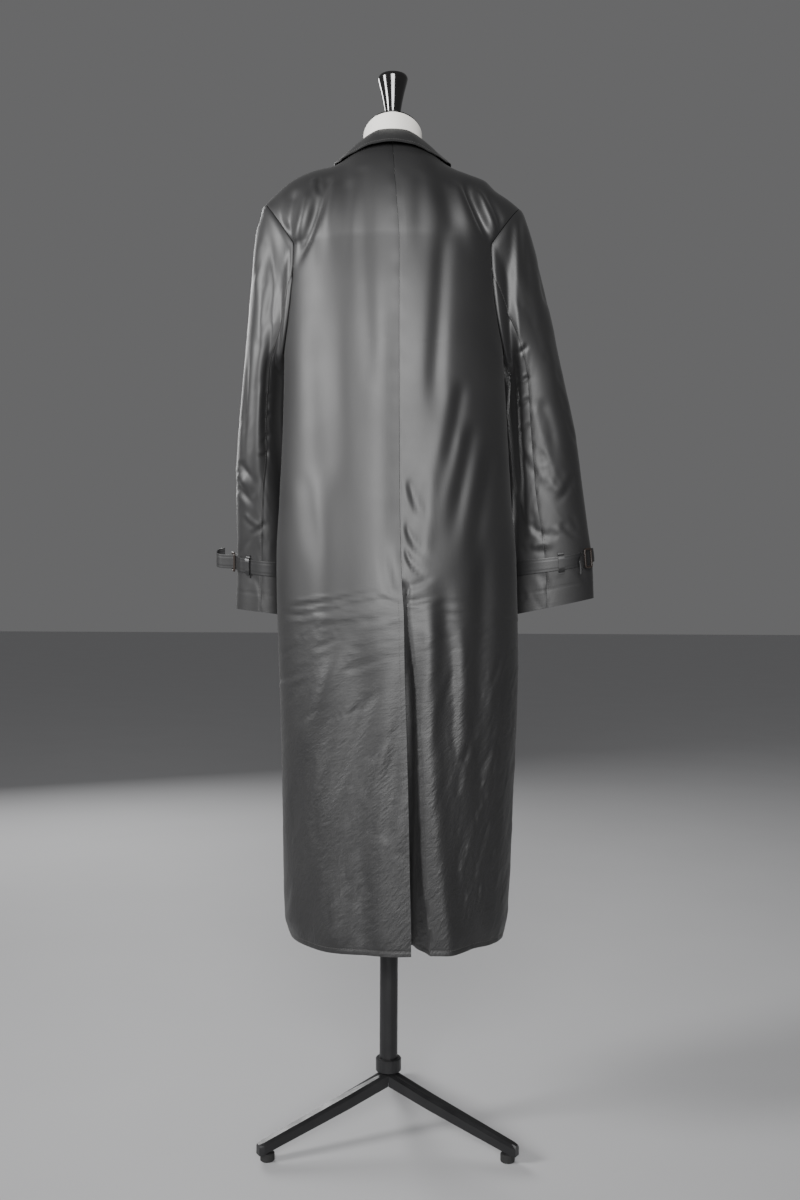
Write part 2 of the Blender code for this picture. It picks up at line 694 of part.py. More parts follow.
def sleeves(cloth, parent):
    down = np.concatenate((np.linspace(0, 1, 9)[:-1], np.linspace(1, 2, 11)))
    cap = ARMHOLE_CAP_SHARE / 2 * (1 - CAP_ROWS)
    low = ARMHOLE_CAP_SHARE / 2 + (0.5 - ARMHOLE_CAP_SHARE / 2) * ARMHOLE_ROWS
    low[1] = ARMHOLE_SEAM_SHARE
    half = np.unique(np.round(np.concatenate((cap, low)), 6))
    outer_half = half[half <= ARMHOLE_SEAM_SHARE + 1e-6]
    inner_half = half[half >= ARMHOLE_SEAM_SHARE - 1e-6]
    over = np.unique(np.concatenate((-outer_half, outer_half)))
    under = np.unique(np.concatenate((inner_half, 1 - inner_half)))
    gap = 0.0006
    lower = ease(0, 1, down)[:, None]
    for name in SIDES:
        seam = seam_share(down, name)[:, None]
        for word, columns, first, last in (
            ("top", over, FRONT_SEAM_SHARE - 1, seam),
            ("under", under, seam, FRONT_SEAM_SHARE),
        ):
            start = from_armhole(columns)
            along = (columns - columns[0]) / (columns[-1] - columns[0])
            share = start + (first + (last - first) * along - start) * lower
            rows = down[:, None] + 0 * share
            _, outward = sleeve_points(rows, share, name)
            share[:, 0] += gap
            share[:, -1] -= gap
            outer, _ = sleeve_points(rows, share, name)
            cloth_wall("sleeve_%s_%s" % (name, word), outer, outward, WALL, cloth, parent)


def collar_points(turns, steps):
    """Grid over the collar: stand, roll and leaf, its showing side."""
    grid = []
    for turn in turns:
        side = 1 if turn >= 0 else -1
        angle = math.radians(abs(turn))
        hollow = math.cos(angle)
        face = 1 if hollow >= 0 else -1
        neck_z = NECK_BACK_Z if face > 0 else NECK_FRONT_Z
        foot = Vector((
            side * NECK_HALF * math.sin(angle),
            (NECK_BACK if face > 0 else -NECK_FRONT) * hollow,
            NECK_SIDE_Z + (neck_z - NECK_SIDE_Z) * hollow**2,
        ))
        roll = Vector((
            side * COLLAR_ROLL_HALF * math.sin(angle),
            (COLLAR_ROLL_BACK if face > 0 else -COLLAR_ROLL_FRONT) * hollow,
            float(COLLAR("roll_z", abs(turn))),
        ))
        edge = Vector((
            side * float(COLLAR("edge_x", abs(turn))),
            float(COLLAR("edge_y", abs(turn))),
            float(COLLAR("edge_z", abs(turn))),
        ))
        up = (roll - foot).normalized()
        inward = Vector((-foot.x, -foot.y, 0)).normalized()
        raised = 0.0008 + 0.0042 * float(ease(80, 125, abs(turn)))
        foot = foot + up * raised + inward * COLLAR_THICK
        out = Vector((edge.x - roll.x, edge.y - roll.y, 0)).normalized()
        middle = roll + out * COLLAR_ROLL_RADIUS
        start_turn = math.atan2((roll - foot).dot(out), roll.z - foot.z)
        end_turn = math.atan2((edge - middle).dot(out), edge.z - middle.z)
        column = []
        for t in steps:
            swing = start_turn + (end_turn - start_turn) * min(max(t - 1, 0), 1)
            bend = out * (-math.cos(swing)) + Vector((0, 0, math.sin(swing)))
            on_roll = middle + bend * COLLAR_ROLL_RADIUS
            if t < 1:
                column.append(foot.lerp(on_roll, t))
            elif t <= 2:
                column.append(on_roll)
            else:
                bulge = math.sin(math.pi * (t - 2)) * 0.0025
                column.append(on_roll.lerp(edge, t - 2) + Vector((0, 0, bulge)))
        grid.append(column)
    return np.array([[tuple(point) for point in column] for column in grid])


def collar(cloth, parent):
    turns = np.linspace(-COLLAR_END, COLLAR_END, 31)
    steps = [0.0, 0.5, 1.0, 1.33, 1.67, 2.0, 2.33, 2.67, 3.0]
    points = collar_points(turns, steps)
    outward = normals(points)
    if outward[len(turns) // 2, -2, 2] < 0:
        outward = -outward
    cloth_wall("collar", points, outward, COLLAR_THICK, cloth, parent)


def strap_level(name):
    """The sleeve's down value at the middle of the strap."""
    hem = SIDES[name][2]
    return 2 - CUFF_STRAP_ABOVE_HEM / (SLEEVE_JOIN_Z - hem)


def on_sleeve(share, height, name, lift):
    """Points over the sleeve at the strap, lifted off it; height is up from its middle.
    The strap climbs where it rounds the sleeve's outer edge."""
    hem = SIDES[name][2]
    share = np.asarray(share, float)
    from_edge = (share + 0.5) % 1.0 - 0.5
    climb = STRAP_CLIMB * np.exp(-((from_edge / STRAP_CLIMB_SHARE) ** 2))
    down = strap_level(name) - (np.asarray(height, float) + climb) / (SLEEVE_JOIN_Z - hem)
    down, share = np.broadcast_arrays(down, share)
    here = sleeve_base(down, share, name)
    along = sleeve_base(down, share + 0.002, name) - sleeve_base(down, share - 0.002, name)
    below = sleeve_base(down + 0.01, share, name) - sleeve_base(down - 0.01, share, name)
    outward = np.cross(along, below)
    outward /= np.linalg.norm(outward, axis=-1, keepdims=True)
    side, table = SIDES[name][:2]
    away = here[..., 0] - side * (table("out", here[..., 2]) - table("half", here[..., 2]))
    away_y = here[..., 1] - table("y", here[..., 2])
    flip = np.sign(outward[..., 0] * away + outward[..., 1] * away_y)[..., None]
    outward = outward * flip
    return here + outward * np.asarray(lift, float)[..., None], outward


def strap(name, cloth, parent):
    """Strap round the cuff: from under the buckle once round, through it, and a free tail."""
    buckle = SIDES[name][4]
    turn = -1 if name == "left" else 1
    half = STRAP_WIDTH / 2
    heights = np.array([-half, 0.0, half])
    path = np.linspace(buckle - turn * 0.05, buckle + turn * 1.0, 32)
    travelled = np.abs(path - path[0])
    lift = STRAP_CLEAR + STRAP_THICK + (STRAP_THICK + 0.0012) * ease(0.955, 0.985, travelled)
    outer, outward = on_sleeve(path[:, None], heights[None, :], name, lift[:, None] + 0 * heights)
    end = outer[-1, 1]
    ahead = outer[-1, 1] - outer[-2, 1]
    ahead /= np.linalg.norm(ahead)
    off = outward[-1, 1]
    rows = []
    for along, away, drop in TAILS[name]:
        middle = end + ahead * along + off * away + np.array([0.0, 0.0, -drop])
        rows.append([middle + (outer[-1, j] - end) for j in range(3)])
    points = np.concatenate((outer, np.array(rows)))
    facing = normals(points)
    if np.sum(facing[5] * outward[5]) < 0:
        facing = -facing
    facing[: len(outer)] = outward
    cloth_wall("strap_" + name, points, facing, STRAP_THICK, cloth, parent)


def frame_on_sleeve(name, share, lift):
    """Place and axes on the sleeve: along the strap, up it, and out of it."""
    here, outward = on_sleeve(np.array([share]), 0.0, name, np.array([lift]))
    above, _ = on_sleeve(np.array([share]), 0.01, name, np.array([lift]))
    out = Vector(outward[0])
    up = Vector(above[0] - here[0])
    up = (up - out * up.dot(out)).normalized()
    along = up.cross(out).normalized()
    axes = Matrix((along, up, out)).transposed().to_4x4()
    return Matrix.Translation(Vector(here[0])) @ axes


def buckle(name, mat, parent):
    """Rectangular frame round the strap where it laps."""
    wide = 0.017
    tall = STRAP_WIDTH + 0.009
    bar = 0.0036
    lift = STRAP_CLEAR + 2 * STRAP_THICK + BUCKLE_LIFT[name]
    place = frame_on_sleeve(name, SIDES[name][4], lift)
    shape = bmesh.new()
    rings = []
    for inset in (0.0, bar):
        corners = []
        for sx, sy in ((1, 1), (-1, 1), (-1, -1), (1, -1)):
            corners.append((sx * (wide / 2 - inset), sy * (tall / 2 - inset)))
        rings.append(corners)
    layers = []
    for height in (-bar / 2, bar / 2):
        layers.append([[shape.verts.new((x, y, height)) for x, y in ring] for ring in rings])
    (low_out, low_in), (high_out, high_in) = layers
    for i in range(4):
        j = (i + 1) % 4
        shape.faces.new((high_out[i], high_out[j], high_in[j], high_in[i]))
        shape.faces.new((low_in[i], low_in[j], low_out[j], low_out[i]))
        shape.faces.new((low_out[i], low_out[j], high_out[j], high_out[i]))
        shape.faces.new((high_in[i], high_in[j], low_in[j], low_in[i]))
    mesh = bpy.data.meshes.new("buckle_" + name)
    shape.to_mesh(mesh)
    shape.free()
    mesh.transform(place)
    face_outward(mesh)
    add("buckle_" + name, mesh, mat, parent)


def keeper(name, cloth, parent):
    """Small loop sewn to the sleeve that bridges the strap."""
    share = SIDES[name][4] + 0.11
    half = STRAP_WIDTH / 2
    reach = half + 0.0012
    heights = np.array([-reach - 0.006, -reach - 0.0022, -reach, 0, reach, reach + 0.0022, reach + 0.006])
    bridge = STRAP_CLEAR + STRAP_THICK + 0.0012
    low = 0.0006
    lifts = np.array([low, low, bridge, bridge, bridge, low, low]) + 0.0012
    around = share + np.linspace(-0.012, 0.012, 3)
    outer, outward = on_sleeve(around[None, :], heights[:, None], name, lifts[:, None] + 0 * around)
    cloth_wall("keeper_" + name, outer, outward, 0.0012, cloth, parent)


def buttons(mat, parent):
    heights = (1.395, 1.245, 1.095, 0.945, 0.795)
    for number, z in enumerate(heights, 1):
        rise = (z - HEM_Z) / (UNDERARM_Z - HEM_Z)
        if z > UNDERARM_Z:
            share = (z - UNDERARM_Z) / (FRONT_CHEST_Z - UNDERARM_Z)
            rise = 2 - math.degrees(math.asin(max(0.0, 1 - min(share, 1)))) / 90
        if z > FRONT_CHEST_Z:
            rise = 2 + (z - FRONT_CHEST_Z) / (NECK_FRONT_Z - FRONT_CHEST_Z) * 0.86
        outer, outward = panel_points(np.array([rise]), np.array([0.0]), 1, -1, LAP_RISE)
        here = Vector(outer[0, 0])
        out = Vector(outward[0, 0])
        profile = [
            (0.0, BUTTON_THICK * 0.62),
            (BUTTON_RADIUS * 0.66, BUTTON_THICK * 0.62),
            (BUTTON_RADIUS * 0.78, BUTTON_THICK),
            (BUTTON_RADIUS * 0.93, BUTTON_THICK),
            (BUTTON_RADIUS, BUTTON_THICK * 0.6),
            (BUTTON_RADIUS * 0.93, 0.0),
            (0.0, 0.0),
        ]
        thing = turned("button_%d" % number, profile, mat, parent, steps=16)
        thing.location = here + out * 0.0007
        thing.rotation_euler = out.to_track_quat("Z", "Y").to_euler()


def cut_height(y):
    return NECK_CUT_Z + NECK_CUT_SLOPE * y


def dress_form(mat, parent):
    count = 26
    levels = [0.740, 0.80, 0.87, 0.95, 1.04, 1.12, 1.20, 1.28, 1.35]
    levels += [1.41, 1.45, 1.48, 1.505, 1.5218, 1.529, 1.536, 1.545, 1.562]
    rings = []
    for z in levels + [None]:
        ring = []
        for i in range(count):
            angle = 2 * math.pi * i / count
            level = 1.60 if z is None else z
            half = float(FORM("half", level))
            depth = float(FORM("back", level)) if math.sin(angle) > 0 else -float(FORM("front", level))
            power = 1 / float(FORM("full", level))
            x = half * math.copysign(abs(math.cos(angle)) ** power, math.cos(angle))
            y = depth * math.copysign(abs(math.sin(angle)) ** power, math.sin(angle))
            ring.append((x, y, cut_height(y) if z is None else z))
        rings.append(ring)
    loft("dress_form", rings, mat, parent, sharp=60)


def neck_cap(mat, parent):
    count = 28
    rings = []
    for lift, scale in ((0.0003, 0.97), (0.0012, 1.0), (CAP_THICK - 0.0009, 1.0), (CAP_THICK, 0.96)):
        ring = []
        for i in range(count):
            angle = 2 * math.pi * i / count
            x = 0.0462 * scale * math.cos(angle)
            y = 0.0470 * scale * math.sin(angle)
            ring.append((x, y, cut_height(y) + lift))
        rings.append(ring)
    loft("neck_cap", rings, mat, parent)


def finial(mat, parent):
    """Turned knob, its foot cut off along the slanted cap."""
    top = FINIAL_TOP_Z
    profile = [
        (0.0, top),
        (0.0190, top - 0.0005),
        (0.0222, top - 0.0025),
        (0.0236, top - 0.0070),
        (0.0228, top - 0.0110),
        (0.0180, top - 0.0300),
        (0.0140, top - 0.0500),
        (0.0122, top - 0.0640),
        (0.0118, top - 0.0780),
        (0.0118, NECK_CUT_Z - 0.020),
        (0.0, NECK_CUT_Z - 0.020),
    ]
    thing = turned("finial", profile, mat, parent, steps=24)
    box = bpy.data.meshes.new("finial_cutter")
    shape = bmesh.new()
    bmesh.ops.create_cube(shape, size=0.12)
    shape.to_mesh(box)
    shape.free()
    cutter = bpy.data.objects.new("finial_cutter", box)
    cutters.objects.link(cutter)
    cutter.parent = parent
    tilt = math.atan(NECK_CUT_SLOPE)
    cutter.rotation_euler = (tilt, 0, 0)
    up = Vector((0, -math.sin(tilt), math.cos(tilt)))
    face = Vector((0, 0, NECK_CUT_Z + CAP_THICK + 0.0003))
    cutter.location = face - up * 0.06
    cutter.hide_render = True
    cutter.display_type = "WIRE"
    cut = thing.modifiers.new("Foot", "BOOLEAN")
    cut.operation = "DIFFERENCE"
    cut.object = cutter
    cut.solver = "EXACT"


def stand(steel, rubber, parent):
    pole_bottom = HUB_TOP_Z + 0.0003
    pole_top = FORM_BOTTOM_Z - 0.0003
    profile = [(0.0, pole_top), (POLE_RADIUS, pole_top), (POLE_RADIUS, pole_bottom), (0.0, pole_bottom)]
    turned("pole", profile, steel, parent, steps=24)
    inner = POLE_RADIUS + 0.0003
    low = HUB_TOP_Z + 0.0003
    ring = [
        (inner, RING_TOP_Z),
        (RING_RADIUS - 0.0012, RING_TOP_Z),
        (RING_RADIUS, RING_TOP_Z - 0.0012),
        (RING_RADIUS, low + 0.0012),
        (RING_RADIUS - 0.0012, low),
        (inner, low),
    ]
    turned("pole_ring", ring, steel, parent, steps=24, closed=True)
    for word, heading in (("left", 30.0), ("right", 150.0), ("front", 270.0)):
        leg(word, heading, steel, rubber, parent)


def leg(word, heading, steel, rubber, parent):
    """Cast leg: its inner end is a 120 degree wedge, so that the three meet at the pole."""
    turn = Matrix.Rotation(math.radians(heading), 4, "Z")
    stations = [
        (0.0, LEG_HUB_WIDTH),
        (0.35, LEG_HUB_WIDTH * 0.92),
        (0.70, LEG_HUB_WIDTH * 0.82),
        (0.97, LEG_FOOT_WIDTH),
        (1.0, LEG_FOOT_WIDTH * 0.62),
    ]
    rings = []
    wedge = LEG_HUB_WIDTH / 2 / math.sqrt(3)
    for share, width in stations:
        along = share * LEG_REACH
        top = HUB_TOP_Z + (LEG_FOOT_TOP_Z - HUB_TOP_Z) * share
        bottom = LEG_HUB_BOTTOM_Z + (LEG_FOOT_BOTTOM_Z - LEG_HUB_BOTTOM_Z) * share
        half = width / 2
        ridge = half * 0.55
        section = [
            (-half, bottom), (0.0, bottom), (half, bottom), (half, top - 0.0040),
            (ridge, top), (0.0, top), (-ridge, top), (-half, top - 0.0040),
        ]
        ring = []
        for across, z in section:
            back = wedge * abs(across) / (LEG_HUB_WIDTH / 2) + SEAM_GAP * 0.6
            start = back if share == 0 else 0
            ring.append(turn @ Vector((along + start, across, z)))
        rings.append(ring)
    loft("leg_" + word, rings, steel, parent, sharp=25)
    spot = turn @ Vector((LEG_REACH * 0.93, 0, 0))
    top = LEG_HUB_BOTTOM_Z + (LEG_FOOT_BOTTOM_Z - LEG_HUB_BOTTOM_Z) * 0.975 - 0.0006
    profile = [(0.0, top), (FOOT_RADIUS - 0.001, top), (FOOT_RADIUS, top - 0.001)]
    profile += [(FOOT_RADIUS, 0.0012), (FOOT_RADIUS - 0.0012, 0.0), (0.0, 0.0)]
    pad = turned("foot_" + word, profile, rubber, parent, steps=16)
    pad.location = (spot.x, spot.y, 0.0)


def build():
    clear_scene()
    bpy.context.scene.collection.children.link(collection)
    bpy.context.scene.collection.children.link(cutters)
    frame = bpy.data.objects.new("coat_frame", None)
    collection.objects.link(frame)
    frame.location = (POLE_X, POLE_Y, 0.0)

    satin = material("black_satin", (0.012, 0.012, 0.013), 0.42)
    trim = material("strap_satin", (0.010, 0.010, 0.011), 0.45)
    leather = material("buckle_leather", (0.018, 0.013, 0.010), 0.45)
    horn = material("dark_horn", (0.012, 0.010, 0.009), 0.30)
    canvas = material("form_cover", (0.78, 0.76, 0.72), 0.80)
    lacquer = material("black_lacquer", (0.008, 0.008, 0.008), 0.15)
    steel = material("black_steel", (0.015, 0.015, 0.016), 0.40, 0.6)
    rubber = material("foot_rubber", (0.02, 0.02, 0.02), 0.85)

    body_panels(satin, frame)
    sleeves(satin, frame)
    collar(satin, frame)
    for name in SIDES:
        strap(name, trim, frame)
        keeper(name, trim, frame)
        buckle(name, leather, frame)
    buttons(horn, frame)
    dress_form(canvas, frame)
    neck_cap(lacquer, frame)
    finial(lacquer, frame)
    stand(steel, rubber, frame)
    bpy.context.view_layer.update()


build()
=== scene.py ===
# Looks of the trench coat on its dress form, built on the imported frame.
# Metres, +Z up. The coat's back faces +Y and the wearer's left is +X.
# Cloth is worked out from the same sections as the solids, with finer creases on top.

import math

import bmesh
import bpy
import numpy as np
from mathutils import Matrix, Vector


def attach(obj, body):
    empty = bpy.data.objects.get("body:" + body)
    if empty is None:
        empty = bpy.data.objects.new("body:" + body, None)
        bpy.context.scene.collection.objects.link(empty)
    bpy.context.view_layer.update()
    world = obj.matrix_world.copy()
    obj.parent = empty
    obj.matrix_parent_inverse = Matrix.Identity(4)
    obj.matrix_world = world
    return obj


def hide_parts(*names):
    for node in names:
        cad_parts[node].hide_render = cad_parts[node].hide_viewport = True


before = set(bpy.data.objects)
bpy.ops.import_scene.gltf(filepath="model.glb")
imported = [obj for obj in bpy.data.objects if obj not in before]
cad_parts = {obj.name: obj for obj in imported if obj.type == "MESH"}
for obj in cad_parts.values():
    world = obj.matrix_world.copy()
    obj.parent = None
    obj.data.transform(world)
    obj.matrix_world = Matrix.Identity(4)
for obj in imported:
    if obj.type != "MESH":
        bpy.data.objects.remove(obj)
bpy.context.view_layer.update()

# Thickness of the cloth that shows, and the turn past which an edge is sharp, in degrees
SHELL = 0.0011
SHARP_TURN = 60

# How far stitches lie off the cloth, and the sides of a thread
THREAD_LIFT = 0.0002
THREAD_SIDES = 5

# Where the pole stands, seen from the middle of the whole thing's box
POLE_X = 0.0213
POLE_Y = 0.0376

# Cloth
WALL = 0.0020
SEAM_GAP = 0.0003
HEM_Z = 0.320
UNDERARM_Z = 1.240
BACK_CHEST_Z = 1.400
FRONT_CHEST_Z = 1.370
NECK_HALF = 0.072
NECK_BACK = 0.072
NECK_FRONT = -0.090
NECK_BACK_Z = 1.558
NECK_SIDE_Z = 1.549
NECK_FRONT_Z = 1.470
SHOULDER_HALF = 0.2035
SHOULDER_SEAM_Y = -0.004
NECK_SHARE = NECK_HALF / SHOULDER_HALF
BACK_ARMHOLE_TURN = 26.0
FRONT_ARMHOLE_TURN = 28.0
FRONT_LAP = 0.030
LAP_RISE = WALL + 0.0014

# Vent
VENT_TOP_Z = 0.865
VENT_FULL_Z = 0.840
VENT_UNDERLAP = 0.028
VENT_EDGE_SHARE = 0.07

# Sleeves
SLEEVE_JOIN_Z = 1.200
HEAD_HANDLE = 0.020
CUFF_STRAP_ABOVE_HEM = 0.075
STRAP_WIDTH = 0.024
STRAP_THICK = 0.0018
STRAP_CLEAR = 0.0008
STRAP_CLIMB = 0.012
STRAP_CLIMB_SHARE = 0.14

# Dress form
NECK_CUT_Z = 1.590
NECK_CUT_SLOPE = 0.48
CAP_THICK = 0.003
FINIAL_TOP_Z = 1.690



def bell(distance, place, width):
    """1 at the place, falling off smoothly to both sides."""
    return np.exp(-(((distance - place) / width) ** 2))


def smooth_curve(xs, ys, x):
    """Smooth curve through the points, with no overshoot between them."""
    xs = np.asarray(xs, float)
    ys = np.asarray(ys, float)
    step = np.diff(xs)
    slope = np.diff(ys) / step
    tangent = np.zeros_like(ys)
    tangent[0] = slope[0]
    tangent[-1] = slope[-1]
    same = slope[:-1] * slope[1:] > 0
    total = np.where(same, slope[:-1] + slope[1:], 1.0)
    tangent[1:-1] = np.where(same, 2 * slope[:-1] * slope[1:] / total, 0.0)
    x = np.clip(np.asarray(x, float), xs[0], xs[-1])
    i = np.clip(np.searchsorted(xs, x) - 1, 0, len(step) - 1)
    t = (x - xs[i]) / step[i]
    return (
        ys[i] * (1 + 2 * t) * (1 - t) ** 2
        + tangent[i] * step[i] * t * (1 - t) ** 2
        + ys[i + 1] * t * t * (3 - 2 * t)
        + tangent[i + 1] * step[i] * t * t * (t - 1)
    )


def ease(start, end, x):
    """0 before start, 1 after end, smooth between; start may be the larger."""
    t = np.clip((np.asarray(x, float) - start) / (end - start), 0.0, 1.0)
    return t * t * (3 - 2 * t)


class Sections:
    """A short table with named columns, read as smooth curves along its first column."""

    def __init__(self, names, rows):
        self.names = names
        self.rows = np.array(sorted(rows), float)

    def __call__(self, name, x):
        return smooth_curve(self.rows[:, 0], self.rows[:, self.names.index(name)], x)


# Coat body: half widths to each side of the pole, depths at the centre lines, where the
# side seam lies front to back, and the line of the centre back seam and the vent's edge
BODY = Sections(
    ("z", "left", "right", "back", "front", "widest", "seam"),
    [
        (0.320, 0.1570, -0.1820, 0.146, -0.140, 0.000, -0.0345),
        (0.352, 0.1672, -0.1890, 0.147, -0.142, 0.000, -0.0340),
        (0.428, 0.1691, -0.1931, 0.147, -0.144, 0.000, -0.0320),
        (0.533, 0.1712, -0.1968, 0.148, -0.146, 0.000, -0.0295),
        (0.639, 0.1734, -0.2013, 0.148, -0.148, 0.004, -0.0262),
        (0.744, 0.1770, -0.2033, 0.149, -0.150, 0.008, -0.0226),
        (0.828, 0.1797, -0.2017, 0.149, -0.150, 0.012, -0.0210),
        (0.865, 0.1805, -0.2003, 0.148, -0.150, 0.014, -0.0184),
        (0.913, 0.1809, -0.1989, 0.147, -0.150, 0.016, -0.0165),
        (1.003, 0.1767, -0.1905, 0.144, -0.149, 0.019, -0.0140),
        (1.140, 0.1710, -0.1820, 0.141, -0.147, 0.020, -0.0128),
        (1.240, 0.1696, -0.1760, 0.140, -0.145, 0.020, -0.0122),
        (1.317, 0.1694, -0.1718, 0.139, -0.142, 0.020, -0.0119),
        (1.400, 0.1690, -0.1705, 0.133, -0.136, 0.020, -0.0112),
    ],
)

# Shoulder line: height at each distance out from the neck
SHOULDER = Sections(
    ("out", "left", "right"),
    [
        (0.0720, 1.5490, 1.5490),
        (0.0907, 1.5380, 1.5370),
        (0.1203, 1.5320, 1.5265),
        (0.1460, 1.5230, 1.5175),
        (0.1643, 1.5130, 1.5010),
        (0.1850, 1.4960, 1.4880),
        (0.2035, 1.4790, 1.4740),
    ],
)

# Vent: where the right panel turns in beside the opening, and how deep its edge goes
VENT = Sections(
    ("z", "turn", "depth"),
    [
        (0.320, -0.0640, 0.066),
        (0.352, -0.0620, 0.062),
        (0.430, -0.0535, 0.046),
        (0.550, -0.0494, 0.030),
        (0.670, -0.0414, 0.020),
        (0.800, -0.0310, 0.013),
        (0.840, -0.0290, 0.010),
        (0.865, -0.0290, 0.0050),
        (0.885, -0.0290, 0.0),
    ],
)

# Large soft folds of the body: a line down the cloth by three points, its half width
# and how far it stands out (+) or in (-), and the face it is on (+1 back, -1 front)
FOLD_NAMES = ("face", "z1", "x1", "z2", "x2", "z3", "x3", "width", "rise")
FOLDS = [
    (1, 1.480, 0.0456, 1.330, 0.0390, 1.170, 0.0300, 0.013, -0.0022),
    (1, 1.433, -0.0805, 1.300, -0.0735, 1.130, -0.0640, 0.013, -0.0040),
    (1, 0.880, -0.0801, 0.740, -0.0785, 0.600, -0.0765, 0.016, -0.0060),
    (1, 0.860, -0.0642, 0.594, -0.0640, 0.325, -0.0900, 0.018, 0.0085),
    (1, 1.495, 0.1120, 1.412, 0.1261, 1.352, 0.1560, 0.008, -0.0055),
    (1, 1.495, 0.0950, 1.437, 0.1073, 1.370, 0.1130, 0.011, -0.0045),
    (1, 1.495, -0.1170, 1.431, -0.1342, 1.395, -0.1560, 0.010, -0.0055),
    (1, 1.050, 0.1050, 0.700, 0.0980, 0.330, 0.0900, 0.026, 0.0040),
    (1, 0.800, 0.0450, 0.560, 0.0400, 0.330, 0.0350, 0.022, -0.0035),
    (1, 0.950, -0.1450, 0.650, -0.1380, 0.330, -0.1350, 0.016, -0.0060),
    (-1, 1.360, 0.0900, 1.100, 0.0820, 0.700, 0.0900, 0.018, -0.0060),
    (-1, 1.330, -0.0950, 1.050, -0.0850, 0.650, -0.0930, 0.020, -0.0065),
    (-1, 0.820, 0.0900, 0.580, 0.0930, 0.330, 0.0980, 0.020, 0.0060),
    (-1, 0.760, -0.0700, 0.540, -0.0640, 0.330, -0.0600, 0.022, 0.0055),
]

# Sleeves: outermost edge, half width, where the middle lies front to back, half depth,
# and the share of the way round (from the outer edge, over the back) of the back seam
SLEEVE_NAMES = ("z", "out", "half", "y", "deep", "seam")
SLEEVE_LEFT = Sections(
    SLEEVE_NAMES,
    [
        (0.822, 0.2620, 0.050, -0.116, 0.052, 0.240),
        (0.900, 0.2590, 0.048, -0.106, 0.056, 0.250),
        (0.961, 0.2580, 0.046, -0.095, 0.062, 0.262),
        (1.028, 0.2578, 0.044, -0.082, 0.068, 0.285),
        (1.100, 0.2535, 0.041, -0.066, 0.072, 0.325),
        (1.200, 0.2425, 0.038, -0.047, 0.073, 0.330),
    ],
)
SLEEVE_RIGHT = Sections(
    SLEEVE_NAMES,
    [
        (0.827, 0.3340, 0.066, -0.060, 0.034, 0.285),
        (0.900, 0.3310, 0.065, -0.058, 0.041, 0.290),
        (0.961, 0.3232, 0.064, -0.056, 0.047, 0.295),
        (1.035, 0.3130, 0.063, -0.052, 0.052, 0.300),
        (1.117, 0.3009, 0.061, -0.045, 0.056, 0.295),
        (1.200, 0.2821, 0.056, -0.036, 0.062, 0.280),
    ],
)
ARMHOLE_CAP_SHARE = 0.42
FRONT_SEAM_SHARE = 0.732
ARMHOLE_SEAM_SHARE = 1 - FRONT_SEAM_SHARE
ARMHOLE_SWING = 0.09

# How far each buckle's middle lies off its strap
BUCKLE_LIFT = {"left": 0.0031, "right": 0.0056}

# How the sleeve of each side hangs: sign of X, table, hem height, rise of the hem's
# outer side, and where the strap's buckle sits round the sleeve
SIDES = {
    "left": (1, SLEEVE_LEFT, 0.8225, 0.012, 0.060),
    "right": (-1, SLEEVE_RIGHT, 0.8270, 0.028, 0.118),
}

# Free tails of the straps past the buckle: along the strap, away from the sleeve, and down.
# The left one curls back on itself, the right one lies down beside the strap.
TAILS = {
    "left": [
        (0.0008, 0.0030, 0.0000),
        (0.0014, 0.0080, 0.0000),
        (0.0024, 0.0160, -0.0005),
        (0.0038, 0.0245, -0.0015),
        (0.0066, 0.0290, -0.0035),
        (0.0100, 0.0275, -0.0065),
        (0.0116, 0.0220, -0.0090),
        (0.0118, 0.0140, -0.0105),
    ],
    "right": [
        (0.004, 0.0006, 0.0000),
        (0.009, 0.0018, 0.0008),
        (0.014, 0.0040, 0.0028),
        (0.018, 0.0066, 0.0062),
        (0.021, 0.0088, 0.0100),
    ],
}

# Collar: heights and distances of the roll and of the leaf's edge, by degrees round
# the neck from the centre back
COLLAR_END = 173.0
COLLAR_ROLL_HALF = 0.0515
COLLAR_ROLL_BACK = 0.057
COLLAR_ROLL_FRONT = -0.074
COLLAR = Sections(
    ("turn", "roll_z", "edge_x", "edge_y", "edge_z"),
    [
        (-20.0, 1.5768, -0.0330, 0.0990, 1.5440),
        (0.0, 1.5770, 0.0000, 0.1050, 1.5468),
        (20.0, 1.5768, 0.0330, 0.0990, 1.5440),
        (40.0, 1.5730, 0.0600, 0.0800, 1.5380),
        (60.0, 1.5680, 0.0805, 0.0540, 1.5355),
        (90.0, 1.5640, 0.0935, 0.0000, 1.5450),
        (115.0, 1.5600, 0.0900, -0.0450, 1.5310),
        (140.0, 1.5410, 0.0765, -0.0930, 1.4990),
        (160.0, 1.5130, 0.0600, -0.1260, 1.4620),
        (173.0, 1.4990, 0.0500, -0.1400, 1.4330),
    ],
)
COLLAR_THICK = 0.0020
COLLAR_ROLL_RADIUS = 0.0042

